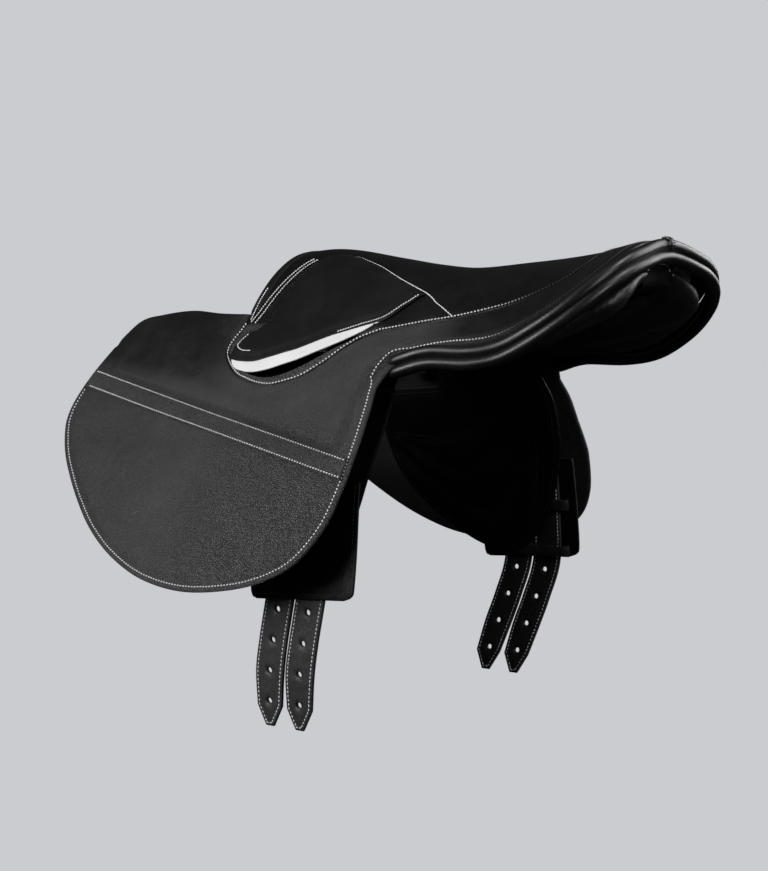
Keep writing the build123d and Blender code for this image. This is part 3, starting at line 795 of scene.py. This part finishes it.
def build_side(side):
    flip = side == "off"
    flap = leather(f"flap_{side}", side_outline(), grained, side_relief, even(-FLAP_LEATHER), spacing=3.2,
                   rounding=1.7, flip=flip, grain=side_grain_and_sheen)
    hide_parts(f"flap_upper_{side}", f"flap_lower_{side}", f"seat_rim_{side}")
    bend(flap)

    on_border = ease((arc(172.0) - EDGE_UV[:, 1]) / 8) * (EDGE_UV[:, 0] < 60)
    row = moved(EDGE_UV, STITCH_IN + BORDER_SHIFT * on_border)
    row = row[row[:, 1] > 0]
    start = int(np.argmin(np.linalg.norm(row - on_flap([fold_at(390, BAND_HIGH)]), axis=1)))
    sewn = np.concatenate([SEAM_UV, STITCH_UV[1:]])[::-1]
    rows = [skin_row(row[start:], side_relief), skin_row(moved(sewn, 1.8), side_relief, 0.4)]
    stitches = stitching(f"flap_stitching_{side}", rows, thread, flip,
                         fade=lambda place: float(ease((FADE_X - place[0]) / FADE_RUN)))
    bend(stitches)


def fold_at(x, drop=0.0):
    """(x, z) on the flap's fold line, moved down by drop."""
    slope = (FOLD_FRONT[1] - FOLD_REAR[1]) / (FOLD_FRONT[0] - FOLD_REAR[0])
    return (x, FOLD_REAR[1] + slope * (x - FOLD_REAR[0]) - drop)


def bend(piece):
    """Bakes a piece of the flap's transform into its mesh; the direction across the fold line is worked out, and
    the piece is not bent.
    """
    across = np.array((FOLD_FRONT[1] - FOLD_REAR[1], -(FOLD_FRONT[0] - FOLD_REAR[0])))
    across /= np.linalg.norm(across)
    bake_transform(piece)


def build_band(side):
    flip = side == "off"
    body = f"flap_{side}"
    corners = [fold_at(389, BAND_LOW), fold_at(1, BAND_LOW), fold_at(1, BAND_HIGH), fold_at(396, BAND_HIGH)]
    outline = outward(on_flap(straight(corners)))

    def top(uv):
        edge = distance(uv, closed(outline))
        return BAND_THICKNESS + 1.2 + 0.5 * ease((edge - 2.5) / 3) - groove(edge - 2.3, 0.4, 0.8)

    # grain 0.9: grained leather, also painted lighter, a painted sheen
    band = leather(f"flap_band_{side}", outline, grained, top, even(0.0), spacing=3.5, rounding=0.9, flip=flip,
                   grain=even(0.9))
    settle(band, "flap_leather", body, f"flap_band_{side}")
    rows = [skin_row(on_flap(curve([fold_at(387, drop), fold_at(3, drop)])), top)
            for drop in (BAND_LOW + 2.3, BAND_HIGH - 2.3)]
    sew(f"band_stitching_{side}", rows, thread, body, flip)


BAND_LOW, BAND_HIGH = -3.0, 17.0        # the band's edges, down from the fold line
LEAF_LIFT = 4.4
STRIP_UPPER = [(207, 147), (203, 151), (190, 152), (165, 151), (136, 145), (105, 135), (73, 126), (32, 116)]
STRIP_LOWER = [(32, 116), (40, 121.5), (55, 128.5), (70, 135), (85, 141), (100, 146.5), (115, 152), (131, 156.5),
               (148, 161), (166, 163.5), (186, 162), (199, 157), (207, 147)]
POMMEL_ROW = [(200, 120), (194, 106), (186, 88), (176, 66), (168, 52)]


def leaf_relief(uv):
    """The skirt is a thin pad that thins towards its edges, and its rim lies lower than its inset."""
    edge = distance(uv, closed(LEAF_UV))
    inset = ease((distance(uv, INSET_UV) - 7.5) / 2.5)
    return LEAF_LIFT - groove(distance(uv, UPPER_UV), 2.2, 5.0) + 1.0 * ease(edge / 30) + 1.3 * inset - 1.3


def build_skirt(side):
    flip = side == "off"
    leaf = leather(f"skirt_{side}", LEAF_UV, smooth_black, leaf_relief, even(0.6), spacing=4.0, rounding=1.3,
                   flip=flip)
    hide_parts(f"skirt_{side}", f"skirt_crown_{side}")
    lift_skirt(leaf)

    strip = leather(f"accent_strip_{side}", outward(loop(on_skin(STRIP_LOWER), on_skin(STRIP_UPPER))), white,
                    even(2.4), even(0.4), spacing=3.0, rounding=0.8, flip=flip)
    settle(strip, "accent_leather", f"skirt_{side}", f"accent_strip_{side}")

    lower = on_skin(curve([(5, 92), (14, 104), (30, 116), (57, 123), (80, 129)]))
    nose = on_skin(curve([(180, 147), (192, 146.5), (201, 143), (203, 137), (199, 131)]))
    rows = [skin_row(moved(lower, -1.5), leaf_relief, 0.3), skin_row(nose, leaf_relief, 0.2)]
    stitches = stitching(f"skirt_stitching_{side}", rows, thread, flip, pitch=2.9, length=2.5, width=1.2)
    lift_skirt(stitches)

    double = [skin_row(on_skin(curve([(x + shift, y - shift / 6) for x, y in POMMEL_ROW])), even(1.0))
              for shift in (0, 6)]
    front = skin_row(on_skin(curve([(208, 117), (209, 104), (208, 88)])), even(1.2))
    rows = [skin_row(moved(RIDGE_UV, 2.0), seat_relief, 0.9), *double, front]
    sew(f"pommel_stitching_{side}", rows, thread, "root", flip, pitch=3.0, length=2.5, width=1.3)


def lift_skirt(piece):
    """Bakes a piece of the skirt's transform into its mesh; it is not bent across its hinge, under the seat's side
    seam.
    """
    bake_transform(piece)


# ---- rolls, panels -----------------------------------------------------------------------------------
GROOVE = [(1, 153, -14), (-14, 150, -8), (-44, 147, -1), (-92, 149, -1), (-128, 151, 5), (-159, 148, 20),
          (-185, 139, 38), (-205, 125, 57), (-217, 105, 73), (-222, 80, 85), (-222, 48, 93.5), (-220, 22, 99),
          (-219, 0, 101)]                # (x, y, z) between the two rolls, down to the middle of the cantle
WELT_RISE, ROLL_DROP = 5.4, 6.0
ROLLS = [("border_welt", WELT_RISE, 5.8, 6.2), ("border_roll", -ROLL_DROP, 7.2, 6.6)]    # (name, up, half sizes)


def whole_way(points):
    """Points down one side, carried on round the back and along the other side."""
    return list(points) + [(x, -y, z) for x, y, z in reversed(points[:-1])]


def build_rolls():
    for name, rise, across, up in ROLLS:
        line = curve([(x, y, z + rise) for x, y, z in whole_way(GROOVE)], 5.0)
        settle(tube(name, line, across, up, roll_black, taper=16), "welt_leather", "root", name, fill=0.9)


def puffed(piece, pressure, most, voxel=5.0):
    """Fills a closed piece like a flocked cushion: cloth under pressure from inside, which swells it by at most
    most mm, and one subdivision."""
    bpy.context.view_layer.objects.active = piece
    remesh = piece.modifiers.new("even", "REMESH")
    remesh.mode = "VOXEL"
    remesh.voxel_size = voxel * MM
    bake(piece)
    before = positions(piece)
    cloth = piece.modifiers.new("swell", "CLOTH")
    cloth.settings.use_pressure = True
    cloth.settings.uniform_pressure_force = pressure
    cloth.settings.tension_stiffness = cloth.settings.compression_stiffness = 40
    cloth.settings.effector_weights.gravity = 0
    cloth.point_cache.frame_start, cloth.point_cache.frame_end = 1, SWELL_FRAMES
    for frame_number in range(1, SWELL_FRAMES + 1):
        bpy.context.scene.frame_set(frame_number)
    bake(piece)
    shift = positions(piece) - before
    shift -= shift.mean(0)
    far = np.linalg.norm(shift, axis=1)[:, None]
    shift *= np.minimum(1, most * MM / np.maximum(far, 1e-9))
    piece.data.vertices.foreach_set("co", (before + shift).ravel())
    bpy.context.scene.frame_set(1)
    even = piece.modifiers.new("round", "SUBSURF")
    even.levels = even.render_levels = 1
    bake(piece)
    piece.data.polygons.foreach_set("use_smooth", [True] * len(piece.data.polygons))


def bake(piece):
    """Turns a piece's modifiers into its mesh."""
    bpy.context.view_layer.update()
    result = bpy.data.meshes.new_from_object(piece.evaluated_get(bpy.context.evaluated_depsgraph_get()))
    piece.modifiers.clear()
    piece.data = result


def positions(piece):
    places = np.empty(len(piece.data.vertices) * 3, np.float32)
    piece.data.vertices.foreach_get("co", places)
    return places.reshape(-1, 3)


def mirrored(piece, name):
    """A copy of a piece on the other side of the middle plane."""
    copy = bpy.data.objects.new(name, piece.data.copy())
    bpy.context.scene.collection.objects.link(copy)
    copy.data.transform(Matrix.Diagonal((1, -1, 1, 1)))
    copy.data.flip_normals()
    return copy


def settle_pair(near, kind, slot, fill):
    """Settles a near side piece, and its mirror image on the off side."""
    for side, piece in (("near", near), ("off", mirrored(near, f"{kind}_off"))):
        settle(piece, slot, "root", f"{kind}_{side}", fill=fill)


SWELL_FRAMES = 20
PANEL_INNER = 27.0
PANEL_REAR = -211.0
PANEL_EDGE = [(PANEL_REAR, PANEL_INNER), (-211.5, 60), (-210, 82), (-204, 100), (-194, 113), (-177, 124),
              (-150, 132), (-110, 132), (-60, 127), (-20, 120), (60, 112), (198, 106)]
PANEL_SIDE = on_skin(curve(PANEL_EDGE))


def panel_outline():
    inner = [(198, 30), (100, PANEL_INNER), (-60, PANEL_INNER), (PANEL_REAR, PANEL_INNER)]
    return outward(loop(on_skin(PANEL_EDGE), on_skin([(198, 106), (198, 30)]), on_skin(inner), step=4.0))


def panel_depths(uv):
    """Depths of a panel's top and bottom: it lies under the tree, and comes up beside and behind it."""
    x, y = uv[:, 0], y_at(uv[:, 1])
    beside = ease((19 - distance(uv, PANEL_SIDE)) / 7) * ease((-30 - x) / 40)
    top = 39.5 - 20.5 * beside
    rear = ease((-120 - x) / 90)
    bottom = 57.0 - rear * (19.0 - 8.0 * ease((y - 40) / 50))
    outer = 55.0 - 15.0 * ease((-20 - x) / 140)
    return top, bottom + (outer - bottom) * ease((y - 98) / 18)


def build_panels():
    """The flocked panels: each rises behind the tree to meet the lower roll at the cantle."""
    outline = panel_outline()

    def swell(sign):
        def lift(uv):
            top, bottom = panel_depths(uv)
            depth = np.clip(distance(uv, closed(outline)) / 18, 0, 1)
            half = np.maximum((bottom - top) / 2 - 1.5, 1.5) * np.sqrt(1 - (1 - depth) ** 2) + 0.8
            return -(top + bottom) / 2 + sign * half
        return lift

    near = leather("panel_near", outline, panel_black, swell(1), swell(-1), spacing=5.0, rounding=0.7)
    puffed(near, pressure=4.0, most=3.0, voxel=4.5)
    settle_pair(near, "panel", "lining_leather", 0.8)


def gullet_ceiling(uv):
    """The lining of the channel between the panels, under the tree and up behind it."""
    return -40.0 + 20.0 * ease((-198 - uv[:, 0]) / 12)


def build_gullet():
    wide = PANEL_INNER + 6
    rear, front = PANEL_REAR - 2, 170
    edge = outward(on_skin(straight([(rear, -wide), (rear, wide), (front, wide), (front, -wide)])))
    lining = leather("gullet_lining", edge, lining_black, gullet_ceiling, lambda uv: gullet_ceiling(uv) - 2.0,
                     spacing=5.0, rounding=0.8)
    settle(lining, "lining_leather", "root", "gullet_lining")

    across = on_skin(curve([(-206, 26), (-210, 12), (-211.5, 0), (-210, -12), (-206, -26)]))
    points, normals = skin_row(across, gullet_ceiling, -2.2)
    rows = [(points, -normals)]
    for side in (1, -1):
        points, _ = skin(on_skin(curve([(-214.5, 40 * side), (-215, 60 * side), (-212, 82 * side)])), -18.5)
        rows.append((points, np.tile((-0.95, 0, -0.3), (len(points), 1))))
    sew("gullet_stitching", rows, thread, "root", pitch=4.2, length=2.6, width=1.3)


# ---- straps and what hangs under the flap -------------------------------------------------------------
SWEAT_EDGE = [(8, 10), (4, -22), (-1, -50), (3, -100), (14, -150), (30, -192), (62, -226), (92, -231), (130, -221),
              (178, -194), (220, -160), (244, -116), (246, -70), (232, -40)]
QUILTING = [[(37, -12), (34, -60), (36, -110), (40, -160)], [(28, -12), (26, -60), (27, -110), (33, -170)],
            [(69, -35), (90, -66), (124, -86), (155, -94), (181, -97), (237, -93)],
            [(51, -55), (56, -76), (66, -92), (95, -118), (138, -137), (175, -128), (213, -108)],
            [(55, -147), (70, -170), (95, -184), (120, -186), (148, -174), (200, -142), (240, -112)]]


def below(points):
    """(x, z) points as (x, depth) points."""
    points = np.array(points, float)
    return np.column_stack([points[:, 0], -points[:, 1]])


def sweat_outline():
    return outward(below(loop(SWEAT_EDGE, [(232, -40), (150, -34)], [(150, -34), (130, 4)], [(130, 4), (8, 10)])))


def quilting_lines():
    return [below(curve(line, 5.0)) for line in QUILTING]


def quilt(uv):
    """How far the quilting puffs out between its stitch lines."""
    lines = np.min([distance(uv, line) for line in quilting_lines()], axis=0)
    return (3.2 - groove(lines, 3.2, 9)) * ease(distance(uv, closed(sweat_outline())) / 16)


def build_sweat_flap(side):
    flip = side == "off"
    piece = leather(f"sweat_flap_{side}", sweat_outline(), lining_black, lambda uv: -9.2 + 0.2 * quilt(uv),
                    lambda uv: -12.3 - quilt(uv), place=hang, spacing=5.0, rounding=1.8, flip=flip)
    settle(piece, "lining_leather", "root", f"sweat_flap_{side}", fill=0.5)
    rows = []
    for line in quilting_lines() + [moved(sweat_outline(), 6.0, shut=True)]:
        points, normals = hang(line, -12.35 - quilt(line))
        rows.append((points, -normals))
    sew(f"quilting_{side}", rows, dark_thread, "root", flip, pitch=4.6, length=3.4, width=0.8)


TIP_Z = -373.5
TOP_HOLE_Z = -251.0
HOLES = 4
STRAP_ROW_IN, GUARD_ROW_IN = 3.4, 5.0       # from a strap's or guard's edge to its stitching


def billet_centre(side, strap):
    """(x, z) points down the middle of a billet, which hangs a little forward."""
    lean = {"near": [(60, -97), (68, -180), (77, -240), (88, -283), (96, -316), (100, -352)],
            "off": [(55, -97), (55, -180), (58, -240), (70, -283), (81, -316), (92, -352)]}[side]
    shift = BILLET_SPACING / 2 if strap == "front" else -BILLET_SPACING / 2
    return [(x + shift, z) for x, z in lean]


def at_height(points, z):
    line = curve(points, 2.0)
    return float(np.interp(-z, -line[:, 1], line[:, 0]))


def punched(x, z, count=20):
    """Outline of a hole for a buckle's tongue."""
    angle = turns(count)
    return below(np.column_stack([x + HOLE_RADIUS * np.cos(angle), z + HOLE_RADIUS * np.sin(angle)]))


def billet_outline(centre):
    """The strap narrows a little towards its cut point."""
    half = BILLET_WIDTH / 2
    ahead, behind = ([(x + side * (half - (2.0 if z < -330 else 0)), z) for x, z in centre] for side in (1, -1))
    tip_x = centre[-1][0] + 2
    ahead_tip, behind_tip = (tip_x + 5, TIP_Z), (tip_x - 5, TIP_Z)
    return outward(below(loop(ahead, [ahead[-1], ahead_tip], [ahead_tip, behind_tip], [behind_tip, behind[-1]],
                              behind[::-1], [behind[0], ahead[0]])))


def build_billet(side, strap):
    flip = side == "off"
    name = f"billet_{strap}_{side}"
    centre = billet_centre(side, strap)
    outline = billet_outline(centre)
    holes = [punched(at_height(centre, z), z) for z in TOP_HOLE_Z - HOLE_SPACING * np.arange(HOLES)]

    def swell(uv):
        edge = distance(uv, closed(outline))
        crown = 0.8 * ease(edge / 12) - groove(edge - STRAP_ROW_IN, 0.5, 1.3)
        dents = sum(groove(distance(uv, closed(hole)), 0.9, 1.6) for hole in holes)
        return BILLET_THICKNESS / 2 - 0.3 + crown - dents

    piece = leather(name, outline, lit_strap_black, swell, lambda uv: -swell(uv) + 0.3, place=hang, holes=holes,
                    spacing=3.5, rounding=1.1, flip=flip)
    settle(piece, "strap_leather", name, name)

    row = closed(moved(outline, STRAP_ROW_IN, shut=True))
    row = row[row[:, 1] > 100]
    front, normals = hang(row, swell(row) + 0.05)
    back, back_normals = hang(row, -swell(row) + 0.25)
    breaks = np.linalg.norm(np.diff(front, axis=0), axis=1) > 12
    cuts = [0, *(np.nonzero(breaks)[0] + 1), len(front)]
    rows = []
    for a, b in zip(cuts, cuts[1:]):
        if b - a > 2:
            rows += [(front[a:b], normals[a:b]), (back[a:b], -back_normals[a:b])]
    sew(f"{name}_stitching", rows, thread, name, flip, pitch=4.3, length=3.0, width=1.35)


def build_guard(side):
    flip = side == "off"
    name = f"buckle_guard_{side}"
    shift = 0 if side == "near" else -2
    corners = loop([(2, -122), (0, -180), (0, -222), (3, -231), (12, -235)], [(12, -235), (122, -242)],
                   [(122, -242), (129, -236), (130, -200), (122, -122)], [(122, -122), (2, -122)])
    outline = outward(below(corners + (shift, 0)))
    inner = BILLET_THICKNESS / 2 + 1.8

    def swell(uv):
        edge = distance(uv, closed(outline))
        return inner + 3.0 + 0.7 * ease(edge / 14) - groove(edge - GUARD_ROW_IN, 0.5, 1.5)

    piece = leather(name, outline, guard_black, swell, even(inner), place=hang, spacing=4.0, rounding=1.2,
                    flip=flip)
    settle(piece, "strap_leather", name, name)
    row = moved(outline, GUARD_ROW_IN, shut=True)
    sew(f"{name}_stitching", [hang(row, swell(row) + 0.05)], dark_thread, name, flip)
    for number, z in enumerate((-168, -222)):
        low, high = (at_height(billet_centre(side, strap), z - 6) + out * (BILLET_WIDTH / 2 + 5.0) + shift
                     for strap, out in (("rear", -1), ("front", 1)))
        keeper(f"guard_loop_{number}_{side}", name, low, high, z, flip)


def keeper(name, body, low, high, z, flip):
    """A flat leather loop round both straps, sewn to the guard at its ends."""
    tall, thick = 12.0, 2.0
    front, back = BILLET_THICKNESS / 2 + 2.4, -BILLET_THICKNESS / 2 - 2.2
    middle = (front + back) / 2
    line = curve([(high, front), (high + 1.6, middle), (high - 1.0, back), (low + 1.0, back), (low - 1.6, middle),
                  (low, front)], 3.0)
    points = []
    for x, lift in line:
        behind = lift < 0
        pull = np.array([x - (low + high) / 2, lift])
        pull /= max(np.linalg.norm(pull), 1e-6)
        for out, down in ((0.0, 0.0), (0.0, tall), (thick, tall), (thick, 0.0)):
            spot = np.array([[x + pull[0] * out * (0.6 if behind else 1.0), down - z]])
            points.append(hang(spot, lift - (out if behind else 0))[0][0])
    piece = add_mesh(name, points, loft(len(line), 4), lit_strap_black, flip)
    soften(piece, 0.6)
    settle(piece, "strap_leather", body)


# ---- the tab, and the parts out of sight ---------------------------------------------------------------
def build_cantle_tab():
    """A short stitched tab over the upper roll, at the middle of the cantle."""
    centre = np.array((GROOVE[-1][0] - 0.6, 0, GROOVE[-1][2] + WELT_RISE))
    inner, outer, half_width = 6.6, 7.8, 3.6
    angles = np.radians(np.arange(60, 236, 8))
    spokes = np.column_stack([np.cos(angles), np.zeros_like(angles), np.sin(angles)])
    corners = ((inner, -half_width), (outer, -half_width), (outer, half_width), (inner, half_width))
    points = [centre + radius * spoke + (0, y, 0) for spoke in spokes for radius, y in corners]
    tab = add_mesh("cantle_tab", points, loft(len(angles), len(corners)), roll_black)
    soften(tab, 0.35)
    settle(tab, "welt_leather", "root", "cantle_tab")
    rows = [(centre + outer * spokes + (0, y, 0), spokes) for y in (-half_width + 1.1, half_width - 1.1)]
    sew("tab_stitching", rows, dark_thread, "root", pitch=2.6, length=1.9, width=0.8)


def build_knee_pads():
    """The shaped foam in each flap, in its own lining."""
    front, rear, top = fold_at(372, -6), fold_at(240, -8), (368, -4)
    outline = outward(on_flap(loop([(232, -8), (240, 22), (262, 30), (300, 34), (340, 28), (362, 14), top],
                                   [top, front], [front, rear], [rear, (232, -8)])))
    near = leather("knee_pad_near", outline, lining_black, even(-FLAP_LEATHER - 0.6),
                   lambda uv: -FLAP_LEATHER - 1.8 - 5.4 * ease(distance(uv, closed(outline)) / 16), spacing=4.0,
                   rounding=0.5)
    puffed(near, pressure=4.0, most=2.0, voxel=4.0)
    settle_pair(near, "knee_pad", "foam", 0.7)


def build_seat_foam():
    """The moulded foam between the cover and the webs."""
    near = [(-209, 0), (-209, 45), (-204, 78), (-188, 100), (-150, 103), (210, 103)]
    outline = outward(on_skin(loop(near, [near[-1], (210, -103)], [(x, -y) for x, y in reversed(near)], step=5.0)))
    piece = leather("seat_foam", outline, foam_rubber, even(-5.2),
                    lambda uv: -21.5 + 1.2 * np.sin(uv[:, 0] / 26) * np.sin(uv[:, 1] / 19) ** 2, spacing=7.0,
                    rounding=5.0)
    settle(piece, "foam", "root", "seat_foam", fill=1.0)


def build_pocket_lining(side):
    """The soft leather behind the stirrup bar: a bowl that comes up to the flap round its rim."""
    edge = loop(RECESS, [(42, 29), (50, 31)], [(50, 31), (168, 31)], [(168, 31), (182, 25), (193, 16), (208, 6)])
    outline = moved(outward(on_flap(edge)), -4.0, shut=True)

    def bowl(uv):
        return -5.2 - 9.0 * ease(distance(uv, closed(outline)) / 13)

    lining = leather(f"pocket_lining_{side}", outline, lining_black, bowl, lambda uv: bowl(uv) - 1.4, spacing=4.0,
                     rounding=0.5, flip=side == "off")
    settle(lining, "lining_leather", "root", f"pocket_lining_{side}")


WEB_THICKNESS = 2.2


def build_girth_web(side, strap):
    """The woven web that a billet hangs from, sewn to it above the sweat flap."""
    name = f"girth_web_{strap}_{side}"
    x = at_height(billet_centre(side, strap), -120)
    half = BILLET_WIDTH / 2 - 2
    outline = outward(below(straight([(x - half, -120), (x + half, -120), (x + half, 24), (x - half, 24)])))

    def front(uv):
        return -BILLET_THICKNESS / 2 - 1.0 + 0.25 * np.sin(uv[:, 1] / 9)

    web = leather(name, outline, web_cloth, front, lambda uv: front(uv) - WEB_THICKNESS, place=hang, spacing=4.0,
                  rounding=0.7, flip=side == "off")
    settle(web, "webbing", "root", name)


FINISHES = {"tree": wood, "head_plate": dull_steel, "head_rivets": rivet_metal, "spring": dull_steel,
            "seat_webs": web_cloth, "stirrup_bar": bright_steel, "bar_rivets": rivet_metal,
            "catch_pin": rivet_metal, "bar_catch": bright_steel}


def finish_cad_nodes():
    for name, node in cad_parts.items():
        material = next((m for start, m in FINISHES.items() if name.startswith(start)), None)
        if material is not None and not node.hide_render:
            for slot in node.material_slots:
                slot.material = material


# ---- camera, light, floor ----------------------------------------------------------------------------
def aim(made, place, forward):
    """Links a camera or lamp into the scene, at a place and looking forward."""
    made.location = place
    made.rotation_mode = "QUATERNION"
    made.rotation_quaternion = Vector(forward).to_track_quat("-Z", "Y")
    bpy.context.scene.collection.objects.link(made)


def build_camera():
    camera = bpy.data.objects.new("camera", bpy.data.cameras.new("camera"))
    aim(camera, (-1.0308, 1.5281, 0.0273), (0.60069, -0.79714, -0.06105))
    camera.data.lens = 73.07
    camera.data.sensor_width = 36.0
    camera.data.clip_start, camera.data.clip_end = 0.05, 60
    bpy.context.scene.camera = camera


# (name, place, what it points at, size, watts), in metres
LAMPS = [("key", (0.9, 2.3, 0.75), (0.1, 0.15, -0.05), (1.3, 1.1), 58),
         ("top", (0.1, 0.5, 2.3), (0, 0, 0), (2.2, 1.8), 4),
         ("rear", (-1.5, -0.55, 1.7), (-0.2, 0, 0.08), (0.7, 0.7), 20),
         ("off", (-0.7, -2.3, 0.8), (0.1, -0.1, -0.1), (1.4, 1.2), 27),
         ("low", (-1.7, 0.25, 0.42), (-0.19, -0.06, 0.05), (0.45, 0.35), 8)]


def build_lamps():
    for name, place, target, size, watts in LAMPS:
        light = bpy.data.lights.new(name, "AREA")
        light.shape = "RECTANGLE"
        light.size, light.size_y = size
        light.energy = watts
        aim(bpy.data.objects.new(name, light), place, Vector(target) - Vector(place))


def build_world():
    """The camera sees the pale background, and the saddle gets a little light from all round."""
    world = bpy.data.worlds.new("studio")
    world.use_nodes = True
    tree = world.node_tree
    tree.nodes.clear()
    out = tree.nodes.new("ShaderNodeOutputWorld")
    mix = tree.nodes.new("ShaderNodeMixShader")
    rays = tree.nodes.new("ShaderNodeLightPath")
    seen, lit = (tree.nodes.new("ShaderNodeBackground") for _ in range(2))
    seen.inputs["Color"].default_value = BACKGROUND
    lit.inputs["Color"].default_value = (0.95, 0.97, 1.0, 1)
    lit.inputs["Strength"].default_value = 0.05
    tree.links.new(rays.outputs["Is Camera Ray"], mix.inputs["Fac"])
    tree.links.new(lit.outputs["Background"], mix.inputs[1])
    tree.links.new(seen.outputs["Background"], mix.inputs[2])
    tree.links.new(mix.outputs["Shader"], out.inputs["Surface"])
    bpy.context.scene.world = world
    bpy.context.scene.view_settings.view_transform = "Standard"


FLOOR_Z = -0.95             # metres


def build_floor():
    """A plain pale floor well under the hanging saddle: it runs out evenly into the pale background."""
    nodes = Nodes("floor")
    middle = nodes.add("ShaderNodeVectorMath", {0: nodes.stretched((1.0, 1.0, 0.0))}, operation="LENGTH")
    nodes.finish(nodes.mix(nodes.noise(0.4), (0.72, 0.73, 0.75), (0.70, 0.71, 0.73)),
                 nodes.ramp(nodes.noise(0.2), (0.3, 0.7), (0.7, 0.8)))
    backdrop = nodes.add("ShaderNodeEmission", {"Color": BACKGROUND})
    far = nodes.ramp(middle.outputs["Value"], (0.35, 0.0), (1.15, 1.0))
    pale = nodes.add("ShaderNodeMixShader",
                     {"Fac": far, 1: nodes.shader.outputs["BSDF"], 2: backdrop.outputs["Emission"]})
    camera_ray = nodes.add("ShaderNodeLightPath").outputs["Is Camera Ray"]
    dark = nodes.add("ShaderNodeBsdfDiffuse", {"Color": (0.02, 0.02, 0.02, 1)})
    seen = nodes.add("ShaderNodeMixShader",
                     {"Fac": camera_ray, 1: dark.outputs["BSDF"], 2: pale.outputs["Shader"]})
    nodes.connect(nodes.tree.nodes["Material Output"], {"Surface": seen.outputs["Shader"]})
    reach = 20000
    corners = [(-reach, -reach, 0), (reach, -reach, 0), (reach, reach, 0), (-reach, reach, 0)]
    floor = add_mesh("floor", corners, [(0, 1, 2, 3)], nodes.material)
    floor.location.z = FLOOR_Z


def build_flag():
    """A black card under the saddle, unseen by the camera, that keeps the key light off its far side."""
    nodes = Nodes("flag")
    cloth_black = nodes.mix(nodes.noise(0.01), (0.003, 0.003, 0.003), (0.004, 0.004, 0.004))
    corners = [(-350, 0, -60), (600, 0, -60), (600, 0, -900), (-350, 0, -900)]
    card = add_mesh("flag", corners, [(0, 1, 2, 3)], nodes.finish(cloth_black, nodes.noise(0.01)))
    card.visible_camera = False


build_seat()
build_pommel()
build_rolls()
build_panels()
build_gullet()
build_cantle_tab()
build_knee_pads()
build_seat_foam()
for side in SIDES:
    build_side(side)
    build_band(side)
    build_skirt(side)
    build_sweat_flap(side)
    build_pocket_lining(side)
    for strap in ("front", "rear"):
        build_billet(side, strap)
        build_girth_web(side, strap)
    build_guard(side)
finish_cad_nodes()
build_camera()
build_lamps()
build_world()
build_floor()
build_flag()
